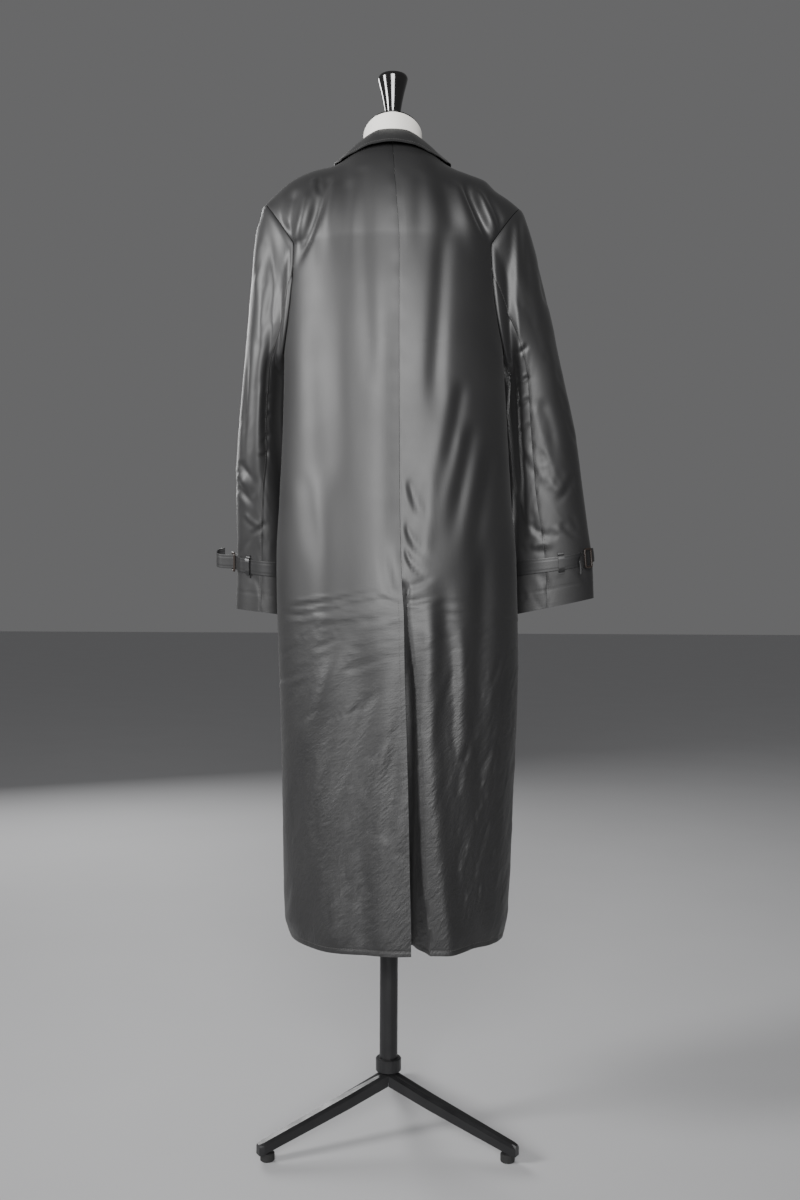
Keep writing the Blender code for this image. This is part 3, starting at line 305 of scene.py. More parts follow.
# Dress form: half width, depths to the back and front, and how full its section is
# (1 an ellipse, less a lozenge)
FORM = Sections(
    ("z", "half", "back", "front", "full"),
    [
        (0.740, 0.150, 0.098, -0.098, 1.0),
        (0.860, 0.164, 0.112, -0.108, 1.0),
        (1.040, 0.127, 0.086, -0.092, 1.0),
        (1.240, 0.146, 0.100, -0.116, 1.0),
        (1.360, 0.152, 0.100, -0.100, 1.0),
        (1.440, 0.156, 0.086, -0.076, 1.0),
        (1.480, 0.155, 0.074, -0.062, 0.95),
        (1.5050, 0.148, 0.066, -0.054, 0.85),
        (1.5218, 0.126, 0.059, -0.050, 0.72),
        (1.5290, 0.090, 0.054, -0.0480, 0.75),
        (1.5420, 0.058, 0.0490, -0.0470, 0.90),
        (1.5620, 0.0475, 0.0475, -0.0465, 1.0),
        (1.700, 0.0462, 0.0470, -0.0465, 1.0),
    ],
)


def body_ring(z, turn, face):
    """Point of the coat at height z, turned from the centre line, + to the left."""
    left = BODY("left", z)
    right = BODY("right", z)
    widest = BODY("widest", z)
    depth = BODY("back", z) if face > 0 else BODY("front", z)
    angle = np.radians(turn)
    x = (left + right) / 2 + (left - right) / 2 * np.sin(angle)
    y = widest + (depth - widest) * np.cos(angle)
    return x, y


def seam_turn(z, line):
    """Turn at which the ring at height z has x = line."""
    left = BODY("left", z)
    right = BODY("right", z)
    share = (line - (left + right) / 2) / ((left - right) / 2)
    return np.degrees(np.arcsin(np.clip(share, -1, 1)))


def top_edge(u, side, face):
    """Neckline, then shoulder seam, at share u of the way from the centre to the tip."""
    out = SHOULDER_HALF * np.abs(u)
    in_neck = np.clip(out / NECK_HALF, 0, 1)
    hollow = np.sqrt(1 - in_neck**2)
    if face > 0:
        neck_y = NECK_BACK * hollow
        neck_z = NECK_SIDE_Z + (NECK_BACK_Z - NECK_SIDE_Z) * hollow**2
    else:
        neck_y = NECK_FRONT * hollow
        neck_z = NECK_SIDE_Z + (NECK_FRONT_Z - NECK_SIDE_Z) * hollow**2
    crest = SHOULDER("left" if side > 0 else "right", np.clip(out, NECK_HALF, None))
    seam_y = SHOULDER_SEAM_Y * (out - NECK_HALF) / (SHOULDER_HALF - NECK_HALF)
    on_shoulder = out > NECK_HALF
    y = np.where(on_shoulder, seam_y, neck_y) + face * SEAM_GAP / 2
    z = np.where(on_shoulder, crest, neck_z)
    return side * SHOULDER_HALF * u, y, z


def panel_base(rise, u, side, face):
    """Smooth form of a body panel. rise: 0 hem, 1 underarm, 2 chest, 3 neck and shoulder.
    u: 0 at the centre line, 1 at the side seam and armhole."""
    rise, u = np.broadcast_arrays(np.asarray(rise, float), np.asarray(u, float))
    chest = BACK_CHEST_Z if face > 0 else FRONT_CHEST_Z
    cut = BACK_ARMHOLE_TURN if face > 0 else FRONT_ARMHOLE_TURN
    armhole = np.radians(90 * np.clip(2 - rise, 0, 1))
    low = HEM_Z + np.clip(rise, -1, 1) * (UNDERARM_Z - HEM_Z)
    high = UNDERARM_Z + (chest - UNDERARM_Z) * (1 - np.sin(armhole))
    z = np.where(rise <= 1, low, high)
    end = side * np.where(rise <= 1, 90.0, 90.0 - cut * np.cos(armhole))
    middle = seam_turn(z, BODY("seam", z) if face > 0 else 0.0)
    turn = middle + u * (end - middle)
    if face > 0 and side < 0:
        turn = np.where(rise <= 1.0, vent_turn(z, u, middle, turn), turn)
    x, y = body_ring(z, turn, face)
    if face > 0 and side < 0:
        x, y = vent_fold(x, y, z, u)
    top_x, top_y, top_z = top_edge(u, side, face)
    neck_angle = 78.0 if face > 0 else 56.0
    arc = np.radians(neck_angle + (90 - neck_angle) * np.clip(np.abs(u) / NECK_SHARE, 0, 1))
    w = np.clip(rise - 2, 0, 1.1)
    inward = (np.cos(w * arc) - np.cos(arc)) / (1 - np.cos(arc))
    upward = np.sin(w * arc) / np.sin(arc)
    cap = rise > 2
    x = np.where(cap, x + (top_x - x) * np.sin(w * np.pi / 2), x)
    y = np.where(cap, top_y + (y - top_y) * inward, y)
    z = np.where(cap, z + (top_z - z) * upward, z)
    return np.stack([x, y, z], axis=-1)


def vent_turn(z, u, middle, plain):
    """Below the vent's top the right panel runs from where it turns in to the side."""
    fold = seam_turn(z, VENT("turn", z))
    share = np.clip((u - VENT_EDGE_SHARE) / (1 - VENT_EDGE_SHARE), 0, None)
    opened = np.where(u < VENT_EDGE_SHARE, fold, fold + share * (-90.0 - fold))
    edge = middle + (1 - np.clip(1 - u / VENT_EDGE_SHARE, 0, 1)) * (fold - middle)
    opened = np.where(u < VENT_EDGE_SHARE, edge, opened)
    return plain + (opened - plain) * ease(0.96, 0.885, z)


def vent_fold(x, y, z, u):
    """The right panel's edge turns in, and passes under the left panel as an underlap."""
    inside = np.clip(1 - u / VENT_EDGE_SHARE, 0, 1.3)
    reach = VENT_UNDERLAP * np.clip((VENT_TOP_Z - z) / (VENT_TOP_Z - VENT_FULL_Z), 0, 1)
    depth = VENT("depth", z) * ease(0.885, 0.870, z)
    x = x + reach * inside
    y = y - depth * (1 - (1 - np.clip(inside, 0, 1)) ** 2)
    return x, y


def fold_rise(points, face):
    """How far the large folds move each point of a body panel along its normal."""
    x = points[..., 0]
    z = points[..., 2]
    total = np.zeros_like(x)
    for row in FOLDS:
        fold = dict(zip(FOLD_NAMES, row))
        if fold["face"] != face:
            continue
        heights = (fold["z3"], fold["z2"], fold["z1"])
        line = smooth_curve(heights, (fold["x3"], fold["x2"], fold["x1"]), z)
        across = bell(x, line, fold["width"])
        length = fold["z1"] - fold["z3"]
        fade = min(0.07, 0.45 * length)
        to_hem = 1.0 if fold["z3"] < HEM_Z + 0.02 else ease(fold["z3"] - 0.02, fold["z3"] + fade, z)
        along = ease(fold["z1"] + 0.02, fold["z1"] - fade, z) * to_hem
        total = total + fold["rise"] * across * along
    return total


def facing_of(shape, a, b, step):
    """Unit normals of the surface shape(a, b), from points a small step apart."""
    along_a = shape(a + step, b) - shape(a - step, b)
    along_b = shape(a, b + step) - shape(a, b - step)
    cross = np.cross(along_a, along_b)
    return cross / np.maximum(np.linalg.norm(cross, axis=-1, keepdims=True), 1e-12)


def normals(points):
    """Unit normals of a grid of points, halfway between the steps that meet at each."""
    tangents = []
    for axis in (0, 1):
        step = np.diff(points, axis=axis)
        step = step / np.maximum(np.linalg.norm(step, axis=-1, keepdims=True), 1e-12)
        first = np.take(step, [0], axis=axis)
        last = np.take(step, [-1], axis=axis)
        before = np.concatenate((first, step), axis=axis)
        after = np.concatenate((step, last), axis=axis)
        tangents.append(before + after)
    cross = np.cross(tangents[0], tangents[1])
    return cross / np.maximum(np.linalg.norm(cross, axis=-1, keepdims=True), 1e-12)


def panel_points(rise, u, side, face, lap_rise=0.0):
    """Outer points and outward normals of a body panel, folds included."""
    step = 0.003

    def plain(r, v):
        return panel_base(r, v, side, face)

    def outward(shape, r, v):
        beside_neck = (np.abs(v - NECK_SHARE) < 1.5 * step) & (r > 2)
        facing = facing_of(shape, r, np.where(beside_neck, NECK_SHARE + 1.5 * step, v), step)
        return facing * face * side

    def folded(r, v):
        base = plain(r, v)
        facing = outward(plain, r, v)
        inside = (1 - ease(0.80, 0.97, np.abs(v))) * (1 - ease(2.80, 2.97, r))
        over = lap_rise * (1 - ease(0.20, 0.345, v))
        return base + facing * (fold_rise(base, face) * inside + over)[..., None]

    r, v = np.meshgrid(rise, u, indexing="ij")
    facing = outward(folded, r, v)
    on_seam = (r > 3 - 1e-6) & (np.abs(v) > NECK_SHARE - 1e-6)
    facing[..., 1] = np.where(on_seam, 0.0, facing[..., 1])
    return folded(r, v), facing / np.linalg.norm(facing, axis=-1, keepdims=True)


def armhole_point(share, side):
    """Edge of the armhole: share 0 at the shoulder tip, over the back to the underarm
    at 0.5, and up the front again to 1."""
    share = np.asarray(share, float) % 1.0
    face_share = np.where(share <= 0.5, share, 1 - share) / 0.5
    cap_part = ARMHOLE_CAP_SHARE
    w = np.clip(1 - face_share / cap_part, 0, 1)
    around = np.clip((face_share - cap_part) / (1 - cap_part), 0, 1)
    rise = np.where(face_share < cap_part, 2 + w, 2 - around)
    back = panel_base(rise, np.ones_like(rise), side, 1)
    front = panel_base(rise, np.ones_like(rise), side, -1)
    return np.where((share <= 0.5)[..., None], back, front)


def sleeve_ring(z, share, side, table, tilt):
    """Point of the hanging sleeve's section at height z."""
    angle = 2 * np.pi * share
    half = table("half", z)
    x = table("out", z) - half + half * np.cos(angle)
    y = table("y", z) + table("deep", z) * np.sin(angle)
    outer = (1 + np.cos(angle)) / 2
    return np.stack([side * x, y, z + tilt * outer], axis=-1)


def sleeve_base(down, share, name):
    """Smooth form of a sleeve. down: 0 at the armhole, 1 at the join, 2 at the hem."""
    side, table, hem, tilt, _ = SIDES[name]
    down, share = np.broadcast_arrays(np.asarray(down, float), np.asarray(share, float))
    t = np.clip(down, 0, 1)[..., None]
    start = armhole_point(share + ARMHOLE_SWING * np.sin(np.pi * share) ** 2, side)
    angle = 2 * np.pi * share
    under = (1 - np.cos(angle)) / 2
    leave = np.stack(
        [side * (0.80 - 0.30 * under), 0.22 * np.sin(angle) - 0.30 * under, -0.58 - 0.22 * under],
        axis=-1,
    )
    leave /= np.linalg.norm(leave, axis=-1, keepdims=True)
    start = start + leave * 0.0006
    join = sleeve_ring(SLEEVE_JOIN_Z + 0 * share, share, side, table, 0)
    below = sleeve_ring(SLEEVE_JOIN_Z - 0.02 + 0 * share, share, side, table, 0)
    arrive = below - join
    arrive /= np.linalg.norm(arrive, axis=-1, keepdims=True)
    span = np.linalg.norm(join - start, axis=-1, keepdims=True)
    first = start + leave * (HEAD_HANDLE - 0.010 * under)[..., None]
    second = join - arrive * 0.36 * span
    head = (
        start * (1 - t) ** 3
        + 3 * first * t * (1 - t) ** 2
        + 3 * second * t * t * (1 - t)
        + join * t**3
    )
    lower = np.clip(down - 1, 0, 1.02)
    z = SLEEVE_JOIN_Z + (hem - SLEEVE_JOIN_Z) * lower
    tube = sleeve_ring(z, share, side, table, tilt * lower**3)
    points = np.where((down <= 1)[..., None], head, tube)
    points[..., 0] += side * clear_of_body(points, side)
    return points


def clear_of_body(points, side):
    """How far out a sleeve point moves so that it lies beside the coat's body."""
    z = np.clip(points[..., 2], HEM_Z, UNDERARM_Z + 0.001)
    y = points[..., 1]
    left = BODY("left", z)
    right = BODY("right", z)
    widest = BODY("widest", z)
    depth = np.where(y > widest, BODY("back", z) - widest, widest - BODY("front", z))
    across = np.sqrt(np.clip(1 - ((y - widest) / depth) ** 2, 0, 1))
    surface = side * (left + right) / 2 + (left - right) / 2 * across
    clear = 0.0016 + 0.0014 * ease(UNDERARM_Z, UNDERARM_Z - 0.025, points[..., 2])
    need = surface + clear - side * points[..., 0]
    below = ease(UNDERARM_Z + 0.010, UNDERARM_Z - 0.002, points[..., 2])
    return np.clip(need, 0, None) * below


def from_armhole(place):
    """Share of the way round the sleeve that meets a share of the way round the armhole."""
    share = np.asarray(place, float)
    for _ in range(30):
        share = place - ARMHOLE_SWING * np.sin(np.pi * share) ** 2
    return share


def seam_share(down, name):
    """Share of the way round at which the sleeve's back seam lies, from the join down."""
    _, table, hem, _, _ = SIDES[name]
    return table("seam", SLEEVE_JOIN_Z + (hem - SLEEVE_JOIN_Z) * np.clip(down - 1, 0, 1))


def sleeve_points(down, share, name):
    """Outer points and outward normals of a sleeve piece."""
    side = SIDES[name][0]

    def shape(d, s):
        return sleeve_base(np.maximum(d, 0), s, name)

    return shape(down, share), facing_of(shape, down, share, 0.003) * side


def collar_points(turns, steps):
    """Grid over the collar: stand, roll and leaf, its showing side."""
    grid = []
    for turn in turns:
        side = 1 if turn >= 0 else -1
        angle = math.radians(abs(turn))
        hollow = math.cos(angle)
        face = 1 if hollow >= 0 else -1
        neck_z = NECK_BACK_Z if face > 0 else NECK_FRONT_Z
        foot = Vector((
            side * NECK_HALF * math.sin(angle),
            (NECK_BACK if face > 0 else -NECK_FRONT) * hollow,
            NECK_SIDE_Z + (neck_z - NECK_SIDE_Z) * hollow**2,
        ))
        roll = Vector((
            side * COLLAR_ROLL_HALF * math.sin(angle),
            (COLLAR_ROLL_BACK if face > 0 else -COLLAR_ROLL_FRONT) * hollow,
            float(COLLAR("roll_z", abs(turn))),
        ))
        edge = Vector((
            side * float(COLLAR("edge_x", abs(turn))),
            float(COLLAR("edge_y", abs(turn))),
            float(COLLAR("edge_z", abs(turn))),
        ))
        up = (roll - foot).normalized()
        inward = Vector((-foot.x, -foot.y, 0)).normalized()
        raised = 0.0008 + 0.0042 * float(ease(80, 125, abs(turn)))
        foot = foot + up * raised + inward * COLLAR_THICK
        out = Vector((edge.x - roll.x, edge.y - roll.y, 0)).normalized()
        middle = roll + out * COLLAR_ROLL_RADIUS
        start_turn = math.atan2((roll - foot).dot(out), roll.z - foot.z)
        end_turn = math.atan2((edge - middle).dot(out), edge.z - middle.z)
        column = []
        for t in steps:
            swing = start_turn + (end_turn - start_turn) * min(max(t - 1, 0), 1)
            bend = out * (-math.cos(swing)) + Vector((0, 0, math.sin(swing)))
            on_roll = middle + bend * COLLAR_ROLL_RADIUS
            if t < 1:
                column.append(foot.lerp(on_roll, t))
            elif t <= 2:
                column.append(on_roll)
            else:
                bulge = math.sin(math.pi * (t - 2)) * 0.0025
                column.append(on_roll.lerp(edge, t - 2) + Vector((0, 0, bulge)))
        grid.append(column)
    return np.array([[tuple(point) for point in column] for column in grid])


def strap_level(name):
    """The sleeve's down value at the middle of the strap."""
    hem = SIDES[name][2]
    return 2 - CUFF_STRAP_ABOVE_HEM / (SLEEVE_JOIN_Z - hem)


def on_sleeve(share, height, name, lift):
    """Points over the sleeve at the strap, lifted off it; height is up from its middle.
    The strap climbs where it rounds the sleeve's outer edge."""
    hem = SIDES[name][2]
    share = np.asarray(share, float)
    from_edge = (share + 0.5) % 1.0 - 0.5
    climb = STRAP_CLIMB * bell(from_edge, 0, STRAP_CLIMB_SHARE)
    down = strap_level(name) - (np.asarray(height, float) + climb) / (SLEEVE_JOIN_Z - hem)
    down, share = np.broadcast_arrays(down, share)
    here = sleeve_base(down, share, name)
    along = sleeve_base(down, share + 0.002, name) - sleeve_base(down, share - 0.002, name)
    below = sleeve_base(down + 0.01, share, name) - sleeve_base(down - 0.01, share, name)
    outward = np.cross(along, below)
    outward /= np.linalg.norm(outward, axis=-1, keepdims=True)
    side, table = SIDES[name][:2]
    away = here[..., 0] - side * (table("out", here[..., 2]) - table("half", here[..., 2]))
    away_y = here[..., 1] - table("y", here[..., 2])
    flip = np.sign(outward[..., 0] * away + outward[..., 1] * away_y)[..., None]
    outward = outward * flip
    return here + outward * np.asarray(lift, float)[..., None], outward


def frame_on_sleeve(name, share, lift):
    """Place and axes on the sleeve: along the strap, up it, and out of it."""
    here, outward = on_sleeve(np.array([share]), 0.0, name, np.array([lift]))
    above, _ = on_sleeve(np.array([share]), 0.01, name, np.array([lift]))
    out = Vector(outward[0])
    up = Vector(above[0] - here[0])
    up = (up - out * up.dot(out)).normalized()
    along = up.cross(out).normalized()
    axes = Matrix((along, up, out)).transposed().to_4x4()
    return Matrix.Translation(Vector(here[0])) @ axes


def cut_height(y):
    return NECK_CUT_Z + NECK_CUT_SLOPE * y


def in_metres(rows):
    return [tuple(value / 1000 for value in row) for row in rows]


# Creases in millimetres, in the plane seen from behind or in front: a line through three
# points (x, z), its half width, and how far it stands out (+) or in (-)
BACK_CREASES = in_metres([
    (102, 1508, 109, 1452, 152, 1354, 8.5, -4.6),
    (88, 1500, 98, 1440, 128, 1345, 11, 3),
    (150, 1490, 161, 1440, 164, 1385, 8, -3.6),
    (129, 1490, 139, 1430, 153, 1385, 8, 3),
    (113, 1505, 113, 1485, 110, 1465, 4, -2),
    (67, 1490, 71, 1430, 80, 1330, 12, -1.2),
    (-109, 1500, -131, 1445, -163, 1388, 8.5, -5),
    (-92, 1500, -108, 1440, -140, 1360, 11, 3),
    (-126, 1492, -146, 1445, -166, 1400, 6, 3.4),
    (-141, 1491, -166, 1442, -173, 1405, 6.5, -3.6),
    (-78, 1495, -86, 1430, -90, 1350, 12, -1.4),
    (46, 1510, 43, 1460, 38, 1360, 11, -1.3),
    (-42, 1505, -42, 1445, -41, 1350, 11, -1.2),
    (-110, 1190, -96, 1100, -73, 1000, 10, -3),
    (-129, 1130, -110, 1030, -88, 925, 11, -3.4),
    (-162, 1100, -140, 990, -122, 880, 12, -3.4),
    (-64, 1060, -56, 960, -44, 880, 11, 2),
    (118, 1290, 104, 1130, 94, 960, 16, -1.3),
    (74, 1330, 68, 1150, 52, 960, 18, 1.2),
    (130, 1050, 118, 960, 104, 870, 12, -1.3),
    (-28, 1035, -38, 998, -60, 962, 6.2, -1.9),
    (-20, 968, -36, 936, -62, 905, 5.8, -1.8),
    (-18, 930, -34, 903, -62, 876, 4.6, -2),
    (-22, 868, -44, 874, -70, 890, 4.2, -1.4),
    (-22, 848, -48, 850, -80, 862, 3.6, -2),
    (-12, 848, 4, 890, 10, 950, 7.5, -1.8),
    (-14, 841, 4, 850, 25, 856, 3.4, -1.4),
    (171, 837, 90, 847, -5, 868, 2.8, -1.3),
    (135, 829, 60, 842, -11, 854, 2.6, -1.1),
    (157, 848, 102, 851, 46, 861, 2.6, 1),
    (168, 822, 120, 826, 60, 838, 2.6, -1),
    (120, 812, 60, 824, 0, 836, 2.8, 0.9),
    (-60, 838, -110, 846, -170, 836, 3, -1.1),
    (-50, 822, -100, 828, -150, 818, 2.8, -1),
    (-13, 479, -20, 466, -29, 447, 3.4, -2),
    (142, 600, 101, 715, 36, 820, 15, 3.4),
    (94, 530, 50, 668, -4, 785, 13, -4),
    (58, 470, 14, 613, -8, 725, 9, 2.6),
    (10, 480, -6, 560, -9, 660, 11, -3.4),
    (155, 470, 137, 557, 100, 640, 12, -3.4),
    (128, 322, 121, 380, 112, 470, 11, -2.8),
    (86, 322, 82, 380, 76, 460, 10, 2.4),
    (40, 322, 37, 400, 34, 500, 12, -3),
    (-108, 325, -112, 450, -112, 600, 13, -2.6),
    (-98, 600, -95, 720, -90, 820, 8, -2.6),
    (-132, 330, -130, 500, -118, 680, 13, 1.8),
    (-116, 690, -112, 760, -106, 830, 9, 1.4),
])
FRONT_CREASES = in_metres([
    (120, 1470, 128, 1410, 150, 1350, 6, -3.4),
    (100, 1480, 105, 1430, 110, 1370, 6, -2.2),
    (-110, 1475, -130, 1420, -152, 1360, 6, -3.4),
    (-90, 1480, -100, 1430, -108, 1380, 6, -2),
    (150, 1250, 110, 1210, 60, 1190, 7, -1.4),
    (-155, 1240, -110, 1205, -60, 1185, 7, -1.4),
    (16, 1245, 50, 1238, 90, 1225, 5, -1.2),
    (16, 1095, 55, 1085, 100, 1075, 5, -1.2),
    (16, 945, 50, 940, 90, 925, 5, -1.2),
    (-16, 1243, -50, 1236, -95, 1220, 5, -1),
    (-16, 1093, -55, 1088, -100, 1070, 5, -1),
    (160, 840, 90, 846, 20, 860, 3, -1),
    (-170, 835, -100, 842, -30, 858, 3, -1),
])

# Line that bounds the hollow of each sleeve's inner side: x and z at its top and its foot
SLEEVE_HOLLOWS = {
    "left": (0.2000, 1.455, 0.2105, 1.107),
    "right": (0.1850, 1.420, 0.2165, 1.008),
}
SLEEVE_CREASES = {
    "left": in_metres([
        (229, 1251, 234, 1157, 239, 1050, 4, -2.2),
        (182, 1180, 190, 1173, 201, 1165, 2.8, -1.8),
        (185, 1151, 193, 1139, 206, 1133, 2.8, -2),
        (188, 1118, 196, 1107, 211, 1097, 3, -2.2),
        (193, 1089, 201, 1081, 217, 1078, 3, -2),
        (250, 1074, 236, 1058, 216, 1030, 5, -3.2),
        (252, 1034, 238, 1020, 220, 996, 5, -3),
        (252, 1054, 242, 1042, 230, 1022, 6, 3.4),
        (201, 1416, 204, 1367, 203, 1286, 5, -2.2),
        (211, 1456, 217, 1399, 216, 1319, 6, 2),
        (202, 979, 215, 963, 233, 955, 3.6, -1.8),
        (239, 992, 225, 976, 205, 966, 3.6, 1.6),
        (198, 1472, 211, 1461, 217, 1435, 5, -2),
        (210, 1270, 209, 1206, 219, 1125, 6, -1.6),
        (227, 890, 214, 866, 208, 831, 5, -1.2),
    ]),
    "right": in_metres([
        (-214, 1251, -204, 1241, -190, 1235, 3.4, -2.4),
        (-217, 1206, -206, 1196, -190, 1189, 3.4, -2.6),
        (-217, 1173, -208, 1163, -193, 1155, 3.4, -2.4),
        (-219, 1134, -209, 1123, -198, 1115, 3, -1.6),
        (-195, 1445, -194, 1396, -197, 1325, 4.5, 2.8),
        (-209, 1458, -210, 1396, -217, 1319, 6, -2.8),
        (-225, 934, -243, 941, -264, 934, 6, 3),
        (-221, 979, -238, 960, -267, 950, 5, -2.2),
        (-233, 1173, -253, 1125, -266, 1060, 9, -2.6),
        (-252, 1286, -269, 1222, -282, 1141, 9, -2.2),
        (-297, 1060, -283, 1028, -260, 1004, 6, -2.2),
        (-237, 1060, -260, 1034, -292, 1015, 7, 1.8),
        (-239, 1416, -241, 1351, -252, 1286, 7, -1.8),
        (-273, 979, -289, 960, -312, 953, 5, -1.8),
        (-241, 898, -254, 874, -261, 844, 6, -1.4),
    ]),
}


def groove(distance, place, width, depth):
    return -depth * bell(distance, place, width)


def wobble(t, seed, waves=5, low=1.0, high=4.0):
    """Smooth uneven wave along t, between about -1 and 1, the same each time."""
    draw = np.random.default_rng(seed)
    total = 0.0
    for _ in range(waves):
        pace = draw.uniform(low, high)
        phase = draw.uniform(0, 2 * np.pi)
        total = total + draw.uniform(0.5, 1.0) * np.sin(2 * np.pi * pace * t + phase)
    return total / waves * 1.6


def crease_rise(x, z, creases):
    """How far the creases move each point: a soft trough or ridge with a low lip beside it."""
    total = np.zeros_like(x)
    steps = np.linspace(0, 1, 11)
    for x1, z1, x2, z2, x3, z3, width, rise in creases:
        reach = 3.4 * width
        near = (x > min(x1, x2, x3) - reach) & (x < max(x1, x2, x3) + reach)
        near &= (z > min(z1, z2, z3) - reach) & (z < max(z1, z2, z3) + reach)
        if not near.any():
            continue
        start = np.array([x1, z1])
        end = np.array([x3, z3])
        bend = 2 * np.array([x2, z2]) - (start + end) / 2
        t = steps[:, None]
        line = start * (1 - t) ** 2 + 2 * bend * t * (1 - t) + end * t * t
        points = np.stack([x[near], z[near]], axis=-1)
        best = np.full(len(points), 1e9)
        away = np.zeros(len(points))
        place = np.zeros(len(points))
        for k in range(len(line) - 1):
            step = line[k + 1] - line[k]
            size = np.dot(step, step)
            offset = points - line[k]
            share = offset @ step / size
            held = np.clip(share, 0, 1)
            gap = offset - held[:, None] * step
            distance = np.sum(gap * gap, axis=-1)
            closer = distance < best
            best = np.where(closer, distance, best)
            side = (step[0] * offset[:, 1] - step[1] * offset[:, 0]) / math.sqrt(size)
            away = np.where(closer, side, away)
            place = np.where(closer, (k + held) / (len(line) - 1), place)
        far = np.sqrt(best) / width
        signed = np.sign(away) * far
        shape = bell(far, 0, 1) - 0.42 * bell(signed, 1.9, 1.1)
        taper = ease(0, 0.22, place) * ease(1.0, 0.55, place)
        total[near] += rise * shape * taper
    return total


def crinkles(seed, count, low, high, heading, length, width, depth):
    """Small creases scattered over a region of the (x, z) plane. heading(x, z) is degrees
    above the horizontal."""
    draw = np.random.default_rng(seed)
    made = []
    for _ in range(count):
        x = draw.uniform(low[0], high[0])
        z = draw.uniform(low[1], high[1])
        angle = math.radians(heading(x, z) + draw.normal(0, 9))
        half = draw.uniform(*length) / 2
        bow = draw.normal(0, 0.12) * half
        dx = half * math.cos(angle)
        dz = half * math.sin(angle)
        middle = (x - bow * math.sin(angle), z + bow * math.cos(angle))
        size = draw.uniform(*width)
        rise = draw.uniform(*depth) * (-1 if draw.uniform() < 0.7 else 0.7)
        made.append((x - dx, z - dz, *middle, x + dx, z + dz, size, rise))
    return made


def lay_left(x, z):
    """Heading of the crinkles of the lower left back: flat below the seat, steep at the hem."""
    return 180 - (8 + 72 * float(ease(0.86, 0.50, z)))


def lay_right(x, z):
    return 180 - (-14 + 92 * float(ease(0.85, 0.70, z)))


def distances(points, axis):
    """Distance along the cloth from the first row or column."""
    step = np.linalg.norm(np.diff(points, axis=axis), axis=-1)
    total = np.cumsum(step, axis=axis)
    first = np.zeros_like(np.take(total, [0], axis=axis))
    return np.concatenate((first, total), axis=axis)


def finished(name, mesh, mat, sharp=None):
    """The mesh as an object, faced outward, shaded smooth and in its material."""
    shape = bmesh.new()
    shape.from_mesh(mesh)
    bmesh.ops.recalc_face_normals(shape, faces=shape.faces)
    shape.to_mesh(mesh)
    shape.free()
    mesh.materials.append(mat)
    mesh.shade_smooth()
    if sharp:
        mesh.set_sharp_from_angle(angle=math.radians(sharp))
    thing = bpy.data.objects.new(name, mesh)
    bpy.context.scene.collection.objects.link(thing)
    return thing


def mesh_object(name, points, faces, mat, sharp=None):
    mesh = bpy.data.meshes.new(name)
    mesh.from_pydata([tuple(p) for p in points], [], faces)
    return finished(name, mesh, mat, sharp)


def sewn(piece, slot, *nodes):
    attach(piece, "root")
    if nodes:
        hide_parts(*nodes)
    return piece


def shell(node, outer, outward, thick, look, slot):
    """A thin closed skin between a fine grid of points and the same grid moved in, in
    place of the node."""
    rows, columns = outer.shape[:2]
    inner = outer - outward * thick
    points = np.concatenate((outer.reshape(-1, 3), inner.reshape(-1, 3))) + PLACE
    back = rows * columns
    index = np.arange(back).reshape(rows, columns)
    ring = np.stack([index[:-1, :-1], index[:-1, 1:], index[1:, 1:], index[1:, :-1]], axis=-1)
    ring = ring.reshape(-1, 4)
    rim = np.concatenate((index[0, :], index[1:, -1], index[-1, -2::-1], index[-2:0:-1, 0]))
    after = np.roll(rim, -1)
    edge = np.stack([after, rim, rim + back, after + back], axis=-1)
    faces = np.concatenate((ring, ring[:, ::-1] + back, edge))
    mesh = bpy.data.meshes.new("cloth_" + node)
    mesh.vertices.add(len(points))
    mesh.vertices.foreach_set("co", points.ravel())
    mesh.loops.add(faces.size)
    mesh.loops.foreach_set("vertex_index", faces.ravel().astype(np.int32))
    mesh.polygons.add(len(faces))
    mesh.polygons.foreach_set("loop_start", np.arange(0, faces.size, 4, dtype=np.int32))
    mesh.update(calc_edges=True)
    mesh.validate()
    return sewn(finished("cloth_" + node, mesh, MATS[look], SHARP_TURN), slot, node)


def stitches(name, line, outward, pitch, length, radius):
    """A row of sewn stitches along a line of points on the cloth."""
    line = np.asarray(line)
    step = np.linalg.norm(np.diff(line, axis=0), axis=-1)
    far = np.concatenate(([0.0], np.cumsum(step)))
    points = []
    faces = []
    for start in np.arange(pitch / 2, far[-1] - length, pitch):
        ends = []
        for at in (start, start + length / 2, start + length):
            here = np.array([np.interp(at, far, line[:, k]) for k in range(3)])
            out = np.array([np.interp(at, far, outward[:, k]) for k in range(3)])
            ends.append((here, out / np.linalg.norm(out)))
        along = ends[2][0] - ends[0][0]
        along = along / np.linalg.norm(along)
        base = len(points)
        for (here, out), size, raised in zip(ends, (0.55, 1.0, 0.55), (0.0, 1.0, 0.0)):
            across = np.cross(along, out)
            centre = here + out * (THREAD_LIFT + radius * 0.6 * raised)
            for k in range(THREAD_SIDES):
                turn = 2 * np.pi * k / THREAD_SIDES
                spoke = across * math.cos(turn) + out * math.sin(turn)
                points.append(centre + spoke * radius * size + PLACE)
        faces += ring_faces(2, THREAD_SIDES, base)
        faces.append(tuple(range(base + THREAD_SIDES - 1, base - 1, -1)))
        faces.append(tuple(range(base + 2 * THREAD_SIDES, base + 3 * THREAD_SIDES)))
    return sewn(mesh_object(name, points, faces, MATS["thread"]), "black_satin")


def ring_faces(steps, count, base=0):
    """Faces between rings of points, count to a ring, one after the other."""
    faces = []
    for i in range(steps):
        for k in range(count):
            a = base + i * count + k
            b = base + i * count + (k + 1) % count
            faces.append((a, b, b + count, a + count))
    return faces


